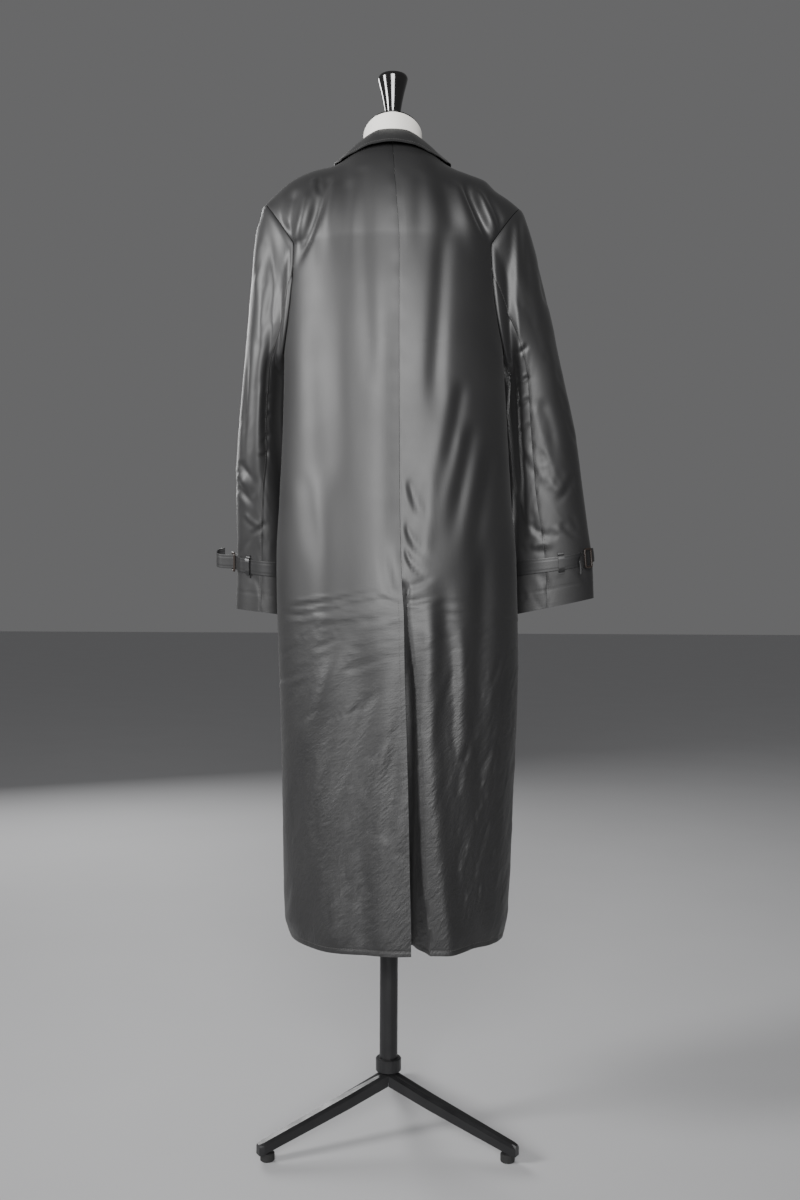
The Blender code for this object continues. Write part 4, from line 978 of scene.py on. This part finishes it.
def line_at(outer, outward, far, place, axis):
    """The line on a grid that lies a set distance in from its first row or column."""
    if axis == 1:
        outer = outer.transpose(1, 0, 2)
        outward = outward.transpose(1, 0, 2)
        far = far.transpose(1, 0)
    columns = outer.shape[1]
    line = np.zeros((columns, 3))
    facing = np.zeros((columns, 3))
    for j in range(columns):
        for k in range(3):
            line[j, k] = np.interp(place, far[:, j], outer[:, j, k])
            facing[j, k] = np.interp(place, far[:, j], outward[:, j, k])
    return line, facing


def grid_normals(points, like):
    """Unit normals of a fine grid, on the same side as the ones given."""
    cross = np.cross(np.gradient(points, axis=0), np.gradient(points, axis=1))
    cross /= np.maximum(np.linalg.norm(cross, axis=-1, keepdims=True), 1e-12)
    same = np.sign(np.sum(cross * like, axis=-1, keepdims=True))
    return cross * np.where(same == 0, 1, same)


# Materials

def node_material(name, colour, roughness, metallic=0.0):
    mat = bpy.data.materials.new(name)
    mat.use_nodes = True
    shader = mat.node_tree.nodes["Principled BSDF"]
    shader.inputs["Base Color"].default_value = (*colour, 1.0)
    shader.inputs["Roughness"].default_value = roughness
    shader.inputs["Metallic"].default_value = metallic
    return mat, shader


def add_node(mat, kind, links, **values):
    """A node with the values given, and its inputs linked to the outputs given."""
    node = mat.node_tree.nodes.new(kind)
    for key, value in values.items():
        if hasattr(node, key):
            setattr(node, key, value)
        else:
            node.inputs[key.replace("_", " ")].default_value = value
    for key, output in links.items():
        mat.node_tree.links.new(output, node.inputs[key])
    return node


def varied(mat, shader, first, second, scale, rough=None):
    """Colour, and roughness if given, that drift a little over the surface."""
    link = mat.node_tree.links.new
    place = add_node(mat, "ShaderNodeTexCoord", {}).outputs["Object"]
    noise = add_node(mat, "ShaderNodeTexNoise", {"Vector": place}, Scale=scale, Detail=4.0)
    blend = add_node(mat, "ShaderNodeMix", {}, data_type="RGBA")
    colours = [i for i in blend.inputs if i.type == "RGBA"]
    colours[0].default_value = (*first, 1.0)
    colours[1].default_value = (*second, 1.0)
    link(noise.outputs["Fac"], blend.inputs["Factor"])
    result = [o for o in blend.outputs if o.type == "RGBA"][0]
    link(result, shader.inputs["Base Color"])
    if rough:
        spread = add_node(mat, "ShaderNodeMapRange", {"Value": noise.outputs["Fac"]},
                          From_Min=0.3, From_Max=0.7, To_Min=rough[0], To_Max=rough[1])
        link(spread.outputs["Result"], shader.inputs["Roughness"])
    return place


def bumped(mat, shader, place, layers):
    """Bump layers, each (scale, stretch, strength, distance)."""
    under = {}
    for scale, stretch, strength, distance in layers:
        mapping = add_node(mat, "ShaderNodeMapping", {"Vector": place}, Scale=stretch)
        texture = add_node(mat, "ShaderNodeTexNoise", {"Vector": mapping.outputs["Vector"]},
                           Scale=scale, Detail=5.0)
        under["Height"] = texture.outputs["Fac"]
        bump = add_node(mat, "ShaderNodeBump", under, Strength=strength, Distance=distance)
        under["Normal"] = bump.outputs["Normal"]
    mat.node_tree.links.new(under["Normal"], shader.inputs["Normal"])
    return under["Normal"]


def crushed(mat, shader, place, under, turns):
    """Fine crushed creases below the seat: stretched noise, each layer (heading, scale,
    full below, none above, strength)."""
    split = add_node(mat, "ShaderNodeSeparateXYZ", {"Vector": place})
    for heading, scale, low, high, strength in turns:
        turn = add_node(mat, "ShaderNodeVectorRotate", {"Vector": place}, rotation_type="Y_AXIS",
                        Angle=-math.radians(heading))
        mapping = add_node(mat, "ShaderNodeMapping", {"Vector": turn.outputs["Vector"]},
                           Scale=(0.13, 0.6, 1.0))
        texture = add_node(mat, "ShaderNodeTexNoise", {"Vector": mapping.outputs["Vector"]},
                           Scale=scale, Detail=6.0, Roughness=0.62)
        zone = add_node(mat, "ShaderNodeMapRange", {"Value": split.outputs["Z"]},
                        interpolation_type="SMOOTHSTEP", From_Min=high, From_Max=low, To_Max=strength)
        bump = add_node(mat, "ShaderNodeBump", {
            "Strength": zone.outputs["Result"],
            "Height": texture.outputs["Fac"],
            "Normal": under,
        }, Distance=0.004)
        under = bump.outputs["Normal"]
    mat.node_tree.links.new(under, shader.inputs["Normal"])


EVEN = (1.0, 1.0, 1.0)
SATIN_BUMPS = [(34.0, (1.0, 1.0, 0.45), 0.05, 0.004), (900.0, EVEN, 0.12, 0.0004)]
SATIN_SOCKETS = {"Specular IOR Level": 0.80, "Sheen Weight": 0.04, "Sheen Roughness": 0.45}
LACQUER_SOCKETS = {"Coat Weight": 0.6, "Coat Roughness": 0.06}

# Looks: material name, plain colour, roughness and metal share, the two colours it drifts
# between and the drift's scale, range of roughness, bump layers, other shader values
LOOKS = {
    "satin": ("satin_cloth", (0.0085, 0.0085, 0.0090), 0.50, 0.0,
              (0.0085, 0.0085, 0.0090), (0.0130, 0.0127, 0.0130), 7.0, (0.50, 0.57),
              SATIN_BUMPS, SATIN_SOCKETS),
    "collar": ("collar_cloth", (0.006, 0.006, 0.0065), 0.56, 0.0,
               (0.006, 0.006, 0.0065), (0.009, 0.009, 0.009), 7.0, (0.56, 0.64),
               SATIN_BUMPS, SATIN_SOCKETS),
    "strap": ("strap_cloth", (0.007, 0.007, 0.0075), 0.42, 0.0,
              (0.007, 0.007, 0.0075), (0.011, 0.011, 0.0115), 7.0, (0.42, 0.50),
              SATIN_BUMPS, SATIN_SOCKETS),
    # Thread: its own grey, lightened further to paint in the highlight that the stitch lines of the seams,
    # hem, vent and collar catch
    "thread": ("thread", (0.090, 0.088, 0.086), 0.55, 0.0,
               (0.070, 0.069, 0.068), (0.120, 0.117, 0.114), 300.0, None, [], {}),
    "leather": ("buckle_cover", (0.020, 0.014, 0.011), 0.42, 0.0,
                (0.016, 0.012, 0.010), (0.030, 0.020, 0.015), 60.0, (0.34, 0.5),
                [(900.0, EVEN, 0.25, 0.0003)], {}),
    "horn": ("horn", (0.018, 0.014, 0.012), 0.26, 0.0,
             (0.010, 0.008, 0.007), (0.040, 0.028, 0.020), 90.0, (0.2, 0.32), [], {}),
    "form": ("form_jersey", (0.80, 0.78, 0.74), 0.75, 0.0,
             (0.80, 0.78, 0.73), (0.86, 0.84, 0.80), 12.0, (0.68, 0.82),
             [(500.0, EVEN, 0.12, 0.0004)], {}),
    "lacquer": ("lacquer", (0.006, 0.006, 0.006), 0.10, 0.0,
                (0.005, 0.005, 0.005), (0.010, 0.009, 0.009), 30.0, (0.08, 0.16),
                [], LACQUER_SOCKETS),
    "steel": ("painted_steel", (0.018, 0.018, 0.019), 0.34, 0.2,
              (0.014, 0.014, 0.015), (0.026, 0.026, 0.027), 40.0, (0.28, 0.42),
              [(400.0, EVEN, 0.10, 0.0004)], {}),
    "rubber": ("rubber", (0.020, 0.020, 0.020), 0.8, 0.0,
               (0.016, 0.016, 0.016), (0.028, 0.028, 0.028), 80.0, (0.72, 0.88), [], {}),
}
CRUSHED_TURNS = [
    (10.0, 170.0, 0.78, 0.92, 0.13),
    (42.0, 210.0, 0.62, 0.84, 0.26),
    (66.0, 180.0, 0.45, 0.74, 0.34),
]


def build_materials():
    made = {}
    for key, look in LOOKS.items():
        name, colour, roughness, metal, first, second, scale, rough, bumps, sockets = look
        mat, shader = node_material(name, colour, roughness, metal)
        place = varied(mat, shader, first, second, scale, rough)
        for socket, value in sockets.items():
            shader.inputs[socket].default_value = value
        if bumps:
            under = bumped(mat, shader, place, bumps)
        if key == "satin":
            crushed(mat, shader, place, under, CRUSHED_TURNS)
        made[key] = mat
    return made


PLACE = np.array([POLE_X, POLE_Y, 0.0])
MATS = build_materials()


# Body panels

BUTTON_HEIGHTS = (1.395, 1.245, 1.095, 0.945, 0.795)

# How far in from the edge the stitch lines lie, and the pitch of the stitches
HEM_STITCH = 0.0080
EDGE_STITCH = 0.0075
COLLAR_STITCH = 0.0060
CUFF_STITCH = 0.030
STITCH_PITCH = 0.0036

# Thickness of the collar that shows and of the keepers, the buckles' frames, and the
# number of sides of a buckle's bar and of the form
COLLAR_SHELL = 0.0012
KEEPER_THICK = 0.0012
BUCKLE_WIDE = 0.017
BUCKLE_TALLER = 0.009
BUCKLE_BAR = 0.0036
BUCKLE_CORNER = 0.0030
BAR_SIDES = 10
FORM_SIDES = 112



# Crinkles of a body panel's lower part: how many, then their range of length, half width
# and depth
CRINKLES = (
    (210, (0.015, 0.055), (0.0013, 0.0028), (0.0003, 0.0008)),
    (34, (0.050, 0.110), (0.0035, 0.0060), (0.0006, 0.0014)),
)
CRINKLE_ZONE = {1: ((-0.02, 0.34), (0.18, 0.85)), -1: ((-0.20, 0.34), (-0.03, 0.85))}
CALM_EDGE = 0.012
SEAM_HALF = 0.0022
SEAM_DEPTH = 0.0004
STITCH_GROOVE = 0.0012
STITCH_DEPTH = 0.0004

# The back's long dip beside its centre seam: depth, and its reach to each side
SEAM_DIP = 0.0058
SEAM_DIP_REACH = {1: 0.024, -1: 0.050}


def panel_detail(outer, side, face):
    """Creases, seams and hem of a body panel, along its normals."""
    x = outer[..., 0]
    z = outer[..., 2]
    hem = distances(outer, 0)
    inner_edge = distances(outer, 1)
    outer_edge = inner_edge[:, -1:] - inner_edge
    total = crease_rise(x, z, BACK_CREASES if face > 0 else FRONT_CREASES)
    calm = (1 - ease(CALM_EDGE, 0.0, outer_edge)) * ease(0.0, CALM_EDGE, inner_edge)
    lay = lay_left if side > 0 else lay_right
    seed = (11 if side > 0 else 12) + face
    fine = []
    for number, (count, length, width, depth) in enumerate(CRINKLES):
        fine += crinkles(seed + 20 * number, count, *CRINKLE_ZONE[side], lay, length, width, depth)
    total = total + crease_rise(x, z, fine)
    total = total * calm
    puckers = wobble(inner_edge / 0.30, 31 + side + 2 * face, 7, 5.0, 17.0)
    total += groove(hem, HEM_STITCH, 0.0013, 0.0005)
    total += 0.00080 * puckers * bell(hem, HEM_STITCH, 0.008)
    total += 0.0004 * ease(HEM_STITCH, HEM_STITCH - 0.003, hem)
    seam_waves = wobble(z / 1.2, 41 + side + 2 * face, 7, 14.0, 34.0)
    seams = bell(outer_edge, 0, SEAM_HALF)
    if face > 0:
        closed = ease(VENT_TOP_Z - 0.01, VENT_TOP_Z + 0.01, z)
        seams = seams + bell(inner_edge, 0, SEAM_HALF) * closed
        total += 0.00040 * seam_waves * bell(inner_edge, 0, 0.010) * closed
        sunk = ease(1.42, 1.20, z) * ease(VENT_TOP_Z, VENT_TOP_Z + 0.12, z)
        total -= SEAM_DIP * sunk * bell(inner_edge, 0, SEAM_DIP_REACH[side])
        total += vent_edge_detail(inner_edge, z, side, closed, seam_waves)
    else:
        total += groove(inner_edge, EDGE_STITCH, STITCH_GROOVE, STITCH_DEPTH)
    total -= SEAM_DEPTH * seams
    total += 0.00030 * seam_waves * bell(outer_edge, 0, 0.009)
    return total


def vent_edge_detail(inner_edge, z, side, closed, seam_waves):
    """Left edge: stitched and puckered. Right edge: lifted, with a trough beside it."""
    if side > 0:
        sewing = groove(inner_edge, EDGE_STITCH, STITCH_GROOVE, STITCH_DEPTH)
        return (sewing + 0.00035 * seam_waves * bell(inner_edge, EDGE_STITCH, 0.007)) * (1 - closed)
    bottom = 0.032 - 0.008 * ease(0.70, 0.35, z)
    lifted = 0.005 * bell(inner_edge, 0, 0.012) - 0.009 * bell(inner_edge, bottom, 0.013)
    return lifted * ease(0.81, 0.70, z)


def soften_neck(outer, rows, columns):
    """Evens out the change of course that runs down the panel from the neck's side."""
    near = bell(columns, NECK_SHARE, 0.10)[1:-1]
    mask = (near[None, :] * (ease(1.9, 2.3, rows) * ease(3.0, 2.9, rows))[:, None])[..., None]
    for _ in range(40):
        even = (outer[:, :-2] + outer[:, 2:]) / 2
        outer[:, 1:-1] += 0.5 * mask * (even - outer[:, 1:-1])
    return outer


def front_rise(z):
    """Rise value of the front panel's centre line at height z."""
    if z > FRONT_CHEST_Z:
        return 2 + (z - FRONT_CHEST_Z) / (NECK_FRONT_Z - FRONT_CHEST_Z) * 0.86
    if z > UNDERARM_Z:
        share = (z - UNDERARM_Z) / (FRONT_CHEST_Z - UNDERARM_Z)
        return 2 - math.degrees(math.asin(1 - share)) / 90
    return (z - HEM_Z) / (UNDERARM_Z - HEM_Z)


def buttonholes():
    """Two close rows of stitches beside each slit in the left front."""
    made = []
    across = np.linspace(-0.004, 0.024, 9) / SHOULDER_HALF
    for number, z in enumerate(BUTTON_HEIGHTS, 1):
        for row, drop in (("upper", 0.0011), ("lower", -0.0011)):
            rise = np.array([front_rise(z + drop)])
            line, facing = panel_points(rise, across, 1, -1, LAP_RISE)
            name = "buttonhole_%d_%s" % (number, row)
            made.append(stitches(name, line[0] + facing[0] * 0.0003, facing[0], 0.0013, 0.0011, 0.00042))
    return made


def panel_grid(side, face):
    """Rise values of the rows and shares of the columns of a body panel's grid."""
    below, middle, above = (200, 44, 64) if face > 0 else (130, 30, 44)
    neck, rest = (26, 62) if face > 0 else (20, 40)
    low = np.linspace(0, 1, below)
    at_hem = [0.0, 0.0022, 0.0044, 0.0066, 0.0088, 0.0110, 0.0135]
    low = np.concatenate((at_hem, low[low > 0.015]))
    rows = np.concatenate((low[:-1], np.linspace(1, 2, middle)[:-1], np.linspace(2, 3, above)))
    at_neck = NECK_SHARE * np.sin(np.radians(np.linspace(0, 90, neck)))
    columns = np.concatenate((at_neck, np.linspace(NECK_SHARE, 1 - 0.0007, rest)[1:]))
    if face < 0:
        lap = FRONT_LAP / SHOULDER_HALF
        return rows, np.concatenate((np.linspace(-lap, 0, 14)[:-1], columns))
    columns[0] = 0.0009
    if side < 0:
        turned_in = VENT_EDGE_SHARE * np.linspace(0.013, 1.0, 18)
        columns = np.concatenate((turned_in, columns[columns > VENT_EDGE_SHARE + 0.004]))
    return rows, columns


def build_panel(side, face):
    word = ("back_" if face > 0 else "front_") + ("left" if side > 0 else "right")
    rows, columns = panel_grid(side, face)
    lift = LAP_RISE if side > 0 and face < 0 else 0.0
    outer, outward = panel_points(rows, columns, side, face, lift)
    outer = soften_neck(outer, rows, columns)
    outer = outer + outward * panel_detail(outer, side, face)[..., None]
    outward = grid_normals(outer, outward)
    piece = shell(word, outer, outward, SHELL, "satin", "black_satin")
    line, facing = line_at(outer, outward, distances(outer, 0), HEM_STITCH, 0)
    sewing = [stitches("hem_thread_" + word, line, facing, STITCH_PITCH, 0.0028, 0.00045)]
    line, facing = line_at(outer, outward, distances(outer, 1), EDGE_STITCH, 1)
    keep = line[:, 2] > HEM_Z + HEM_STITCH
    edge_name = "edge_thread_" + word
    if face > 0:
        keep &= line[:, 2] < VENT_TOP_Z - 0.01
        edge_name = "vent_thread"
    if face < 0 or side > 0:
        sewing.append(stitches(edge_name, line[keep], facing[keep], STITCH_PITCH, 0.0026, 0.00030))
    if side > 0 and face < 0:
        sewing += buttonholes()


# Sleeves

def sleeve_detail(outer, outward, name):
    """Creases, seams and cuff of a sleeve piece, along its normals."""
    x = outer[..., 0]
    z = outer[..., 2]
    side = SIDES[name][0]
    behind = ease(-0.15, 0.15, outward[..., 1])
    total = 0.75 * crease_rise(x, z, SLEEVE_CREASES[name]) * behind
    lean = 0.010 if name == "left" else -0.012
    move = np.array([lean, -0.03, lean, -0.03, lean, -0.03, 0, 0])
    total += 0.75 * crease_rise(x, z, np.array(SLEEVE_CREASES[name]) + move) * (1 - behind)
    high_x, high_z, low_x, low_z = SLEEVE_HOLLOWS[name]
    line = high_x + (low_x - high_x) * (high_z - z) / (high_z - low_z)
    head = distances(outer, 0)
    pressed = ease(0.004, -0.014, side * x - line) * ease(low_z - 0.10, low_z + 0.06, z)
    total -= 0.011 * pressed * ease(0.01, 0.09, head) * behind
    low, high = sorted((0.18 * side, 0.33 * side))
    fine = crinkles(51 + side, 46, (low, 0.84), (high, 1.40), lambda a, b: 90 + side * 24,
                    (0.02, 0.07), (0.003, 0.006), (0.0003, 0.0010))
    total += crease_rise(x, z, fine)
    fore = distances(outer, 1)
    aft = fore[:, -1:] - fore
    total -= 0.0006 * (bell(fore, 0, SEAM_HALF) + bell(aft, 0, SEAM_HALF))
    total -= SEAM_DEPTH * bell(head, 0, SEAM_HALF)
    total += 0.0004 * bell(head, 0.009, 0.007)
    total += groove(head[-1:, :] - head, CUFF_STITCH, 0.0014, 0.0004)
    waves = wobble(head / 0.6, 61 + side, 7, 10.0, 26.0)
    total += 0.0005 * waves * (bell(fore, 0, 0.009) + bell(aft, 0, 0.009))
    return total


def build_sleeve(name, word):
    top = word == "top"
    down = np.concatenate((np.linspace(0, 1, 84)[:-1], np.linspace(1, 2, 130)))
    if top:
        columns = np.linspace(-ARMHOLE_SEAM_SHARE, ARMHOLE_SEAM_SHARE, 64)
    else:
        columns = np.linspace(ARMHOLE_SEAM_SHARE, 1 - ARMHOLE_SEAM_SHARE, 46)
    seam = seam_share(down, name)[:, None]
    first = FRONT_SEAM_SHARE - 1 if top else seam
    last = seam if top else FRONT_SEAM_SHARE
    start = from_armhole(columns)
    along = (columns - columns[0]) / (columns[-1] - columns[0])
    lower = ease(0, 1, down)[:, None]
    share = start + (first + (last - first) * along - start) * lower
    share[:, 0] += 0.0005
    share[:, -1] -= 0.0005
    outer, outward = sleeve_points(down[:, None] + 0 * share, share, name)
    outer = outer + outward * sleeve_detail(outer, outward, name)[..., None]
    outward = grid_normals(outer, outward)
    piece = shell("sleeve_%s_%s" % (name, word), outer, outward, SHELL, "satin", "black_satin")
    if top:
        fore = distances(outer, 1)
        aft = fore[:, -1:] - fore
        line, facing = line_at(outer[:, ::-1], outward[:, ::-1], aft[:, ::-1], 0.0035, 1)
        stitches("seam_thread_" + name, line, facing, 0.0042, 0.0028, 0.00034)


# Collar

def build_collar():
    turns = np.linspace(-COLLAR_END, COLLAR_END, 150)
    steps = np.concatenate((np.linspace(0, 1, 14)[:-1], np.linspace(1, 2, 14)[:-1], np.linspace(2, 3, 40)))
    points = collar_points(turns, steps)
    outward = normals(points)
    if outward[len(turns) // 2, -4, 2] < 0:
        outward = -outward
    far = distances(points, 1)
    edge = far[:, -1:] - far
    along = np.linspace(0, 1, len(turns))[:, None] + 0 * edge
    rise = groove(edge, COLLAR_STITCH, 0.0011, 0.00035)
    rise += 0.0006 * wobble(along, 71, 6, 2.0, 9.0) * ease(0.0, 0.02, edge) * ease(0.06, 0.02, edge)
    rise += 0.0004 * wobble(along * 3, 72, 6, 4.0, 12.0) * bell(edge, 0, 0.006)
    points = points + outward * rise[..., None]
    facing = normals(points)
    facing = facing * np.sign(np.sum(facing * outward, axis=-1, keepdims=True))
    piece = shell("collar", points, facing, COLLAR_SHELL, "collar", "black_satin")
    line, facing = line_at(points[:, ::-1], outward[:, ::-1], edge[:, ::-1], COLLAR_STITCH, 1)
    thread = stitches("collar_thread", line, facing, STITCH_PITCH, 0.0026, 0.00028)
    points.transpose(1, 0, 2)


# Cuff straps, keepers and buckles

def build_strap(name):
    buckle = SIDES[name][4]
    half = STRAP_WIDTH / 2
    heights = np.linspace(-half, half, 15)
    turn = -1 if name == "left" else 1
    path = np.linspace(buckle - turn * 0.05, buckle + turn * 1.0, 170)
    travelled = np.abs(path - path[0])
    lift = STRAP_CLEAR + STRAP_THICK + (STRAP_THICK + 0.0012) * ease(0.955, 0.985, travelled)
    outer, outward = on_sleeve(path[:, None], heights[None, :], name, lift[:, None] + 0 * heights)
    end = outer[-1, 7]
    ahead = outer[-1, 7] - outer[-2, 7]
    ahead /= np.linalg.norm(ahead)
    off = outward[-1, 7]
    tail = np.array([(0.0, 0.0, 0.0)] + TAILS[name])
    gone = np.concatenate(([0.0], np.cumsum(np.linalg.norm(np.diff(tail, axis=0), axis=1))))
    rows = []
    for t in np.linspace(0, gone[-1], 44)[1:]:
        along, away, drop = [float(smooth_curve(gone, tail[:, k], t)) for k in range(3)]
        middle = end + ahead * along + off * away + np.array([0.0, 0.0, -drop])
        rows.append(middle + (outer[-1] - end))
    points = np.concatenate((outer, np.array(rows)))
    facing = normals(points)
    if np.sum(facing[20] * outward[20]) < 0:
        facing = -facing
    facing[: len(outer) - 1] = outward[:-1]
    across = np.minimum(heights + half, half - heights)[None, :]
    soft = groove(across, 0.0035, 0.0009, 0.0003) + groove(across, 0, 0.0012, 0.0003)
    points = points + facing * soft[..., None]
    piece = shell("strap_" + name, points, facing, STRAP_THICK, "strap", "strap_satin")


def build_buckle(name):
    """Leather-covered frame with rounded bars, at the solid's place."""
    lift = STRAP_CLEAR + 2 * STRAP_THICK + BUCKLE_LIFT[name]
    place = frame_on_sleeve(name, SIDES[name][4], lift)
    half_x = (BUCKLE_WIDE - BUCKLE_BAR) / 2 - BUCKLE_CORNER
    half_y = (STRAP_WIDTH + BUCKLE_TALLER - BUCKLE_BAR) / 2 - BUCKLE_CORNER
    line = []
    for sx, sy, begin in ((1, 1, 0), (-1, 1, 90), (-1, -1, 180), (1, -1, 270)):
        for k in range(7):
            turn = math.radians(begin + 15 * k)
            bend = Vector((math.cos(turn), math.sin(turn))) * BUCKLE_CORNER
            line.append(Vector((sx * half_x, sy * half_y)) + bend)
    points = []
    for i, spot in enumerate(line):
        along = (line[(i + 1) % len(line)] - line[i - 1]).normalized()
        away = Vector((along.y, -along.x))
        for k in range(BAR_SIDES):
            turn = 2 * math.pi * k / BAR_SIDES
            around = spot + away * (BUCKLE_BAR / 2 * math.cos(turn))
            raised = Vector((around.x, around.y, BUCKLE_BAR / 2 * math.sin(turn)))
            points.append(tuple(place @ raised + Vector(PLACE)))
    faces = [tuple(v % len(points) for v in face) for face in ring_faces(len(line), BAR_SIDES)]
    frame_piece = mesh_object("leather_buckle_" + name, points, faces, MATS["leather"])
    sewn(frame_piece, "buckle_leather", "buckle_" + name)


def build_keeper(name):
    reach = STRAP_WIDTH / 2 + 0.0012
    above = [reach / 2] + [reach + more for more in (0, 0.0008, 0.0022, 0.004, 0.006)]
    heights = np.array([-height for height in reversed(above)] + [0] + above)
    bridge = STRAP_CLEAR + STRAP_THICK + 0.0012
    low = 0.0006
    knots = [0, reach, reach + 0.0022, reach + 0.006]
    lifts = np.interp(np.abs(heights), knots, [bridge, bridge, low, low]) + KEEPER_THICK
    around = SIDES[name][4] + 0.11 + np.linspace(-0.012, 0.012, 9)
    outer, outward = on_sleeve(around[None, :], heights[:, None], name, lifts[:, None] + 0 * around)
    piece = shell("keeper_" + name, outer, outward, KEEPER_THICK, "strap", "strap_satin")


# Form, cap, finial and stand

def ring_solid(name, rings, look, sharp, slot, node):
    """Closed solid over rings of points, in place of the node."""
    count = len(rings[0])
    points = [tuple(np.array(p) + PLACE) for ring in rings for p in ring]
    faces = [tuple(range(count)), tuple(range(len(points) - count, len(points)))]
    faces += ring_faces(len(rings) - 1, count)
    sewn(mesh_object(name, points, faces, MATS[look], sharp), slot, node)


def oval(count, half_x, half_y, height, sloped):
    """Ring of points, level or along the slope of the neck's cut."""
    ring = []
    for i in range(count):
        angle = 2 * math.pi * i / count
        y = half_y * math.sin(angle)
        ring.append((half_x * math.cos(angle), y, height + (cut_height(y) if sloped else 0)))
    return ring


def form_ring(level, inset):
    """Ring of the dress form: its section, in by the inset."""
    ring = []
    for i in range(FORM_SIDES):
        angle = 2 * math.pi * i / FORM_SIDES
        half = float(FORM("half", level)) - inset
        depth = float(FORM("back", level)) if math.sin(angle) > 0 else -float(FORM("front", level))
        power = 1 / float(FORM("full", level))
        x = half * math.copysign(abs(math.cos(angle)) ** power, math.cos(angle))
        y = (depth - inset) * math.copysign(abs(math.sin(angle)) ** power, math.sin(angle))
        ring.append((x, y, level))
    return ring


def build_form():
    levels = [0.742, 0.746, *np.linspace(0.755, 1.40, 60), *np.linspace(1.41, 1.562, 44), 1.5645]
    rings = [form_ring(0.740, 0.004)] + [form_ring(level, 0) for level in levels]
    rings.append([(x, y, cut_height(y)) for x, y, _ in form_ring(1.60, 0)])
    ring_solid("dress_form_cover", rings, "form", SHARP_TURN, "form_cover", "dress_form")


def build_cap():
    lifts = (0.0003, 0.0007, 0.0015, 0.0023, 0.0028, CAP_THICK)
    scales = (0.985, 0.998, 1.0, 0.995, 0.975, 0.95)
    rings = [oval(96, 0.0462 * scale, 0.0470 * scale, lift, True) for lift, scale in zip(lifts, scales)]
    ring_solid("lacquer_cap", rings, "lacquer", SHARP_TURN, "black_lacquer", "neck_cap")


def build_finial():
    """Turned knob: radii by the drop from its top, then the foot on the cap's slope."""
    drops = (0.0, 0.0005, 0.0012, 0.0028, 0.0070, 0.0110, 0.0300, 0.0500, 0.0640, 0.0780, 0.1300)
    radii = (0.0030, 0.0150, 0.0190, 0.0222, 0.0236, 0.0228, 0.0180, 0.0140, 0.0122, 0.0118, 0.0118)
    rings = []
    for drop in np.concatenate((np.linspace(0, 0.012, 16), np.linspace(0.014, 0.0800, 30))):
        radius = float(smooth_curve(drops, radii, drop))
        rings.append(oval(72, radius, radius, FINIAL_TOP_Z - drop, False))
    rings.append(oval(72, radii[-1], radii[-1], CAP_THICK + 0.0002, True))
    ring_solid("turned_finial", rings, "lacquer", 50, "black_lacquer", "finial")


def keep_solids():
    """CAD nodes whose shape is right get their final material."""
    looks = {"pole": "steel", "pole_ring": "steel"}
    for end in ("left", "right", "front"):
        looks["leg_" + end] = "steel"
        looks["foot_" + end] = "rubber"
    for number in range(1, len(BUTTON_HEIGHTS) + 1):
        looks["button_%d" % number] = "horn"
    for node, look in looks.items():
        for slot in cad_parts[node].material_slots:
            slot.material = MATS[look]


for panel_side in (1, -1):
    for panel_face in (1, -1):
        build_panel(panel_side, panel_face)
for sleeve_name in ("left", "right"):
    for sleeve_word in ("top", "under"):
        build_sleeve(sleeve_name, sleeve_word)
build_collar()
for sleeve_name in ("left", "right"):
    build_strap(sleeve_name)
    build_keeper(sleeve_name)
    build_buckle(sleeve_name)
build_form()
build_cap()
build_finial()
keep_solids()


# Stage, lights and camera

def stage_floor():
    bpy.ops.mesh.primitive_plane_add(size=60.0, location=(0, 0, 0))
    floor = bpy.context.object
    floor.name = "studio_floor"
    mat, shader = node_material("pale_floor", (0.62, 0.62, 0.63), 0.8)
    varied(mat, shader, (0.60, 0.60, 0.61), (0.64, 0.64, 0.65), 3.0)
    floor.data.materials.append(mat)


def area_light(name, location, target, size, energy, spread=180.0):
    data = bpy.data.lights.new(name, "AREA")
    data.shape = "DISK"
    data.size = size
    data.energy = energy
    data.spread = math.radians(spread)
    thing = bpy.data.objects.new(name, data)
    bpy.context.scene.collection.objects.link(thing)
    thing.location = location
    aim = Vector(target) - Vector(location)
    thing.rotation_euler = aim.to_track_quat("-Z", "Y").to_euler()


def lights():
    area_light("key", (0.06, 3.05, 1.50), (0, 0, 1.30), 1.5, 29.0, 80.0)
    area_light("side_key", (2.60, 1.05, 1.80), (0, 0, 1.20), 0.9, 17.0, 80.0)
    area_light("front_key", (1.6, -3.0, 2.1), (0, 0, 1.1), 1.6, 60.0)
    world = bpy.data.worlds.new("studio")
    bpy.context.scene.world = world
    world.use_nodes = True
    background = world.node_tree.nodes["Background"]
    background.inputs["Color"].default_value = (0.78, 0.78, 0.79, 1.0)
    background.inputs["Strength"].default_value = 0.18


def camera():
    data = bpy.data.cameras.new("camera")
    data.sensor_width = 36.0
    data.lens = 37.5
    data.clip_end = 100.0
    thing = bpy.data.objects.new("camera", data)
    bpy.context.scene.collection.objects.link(thing)
    roll = math.radians(0.27)
    right = Vector((-math.cos(roll), 0, math.sin(roll)))
    up = Vector((math.sin(roll), 0, math.cos(roll)))
    axes = Matrix((right, up, Vector((0, 1, 0)))).transposed().to_4x4()
    thing.matrix_world = Matrix.Translation((POLE_X - 0.015, POLE_Y + 2.0, 0.85)) @ axes
    bpy.context.scene.camera = thing


stage_floor()
lights()
camera()
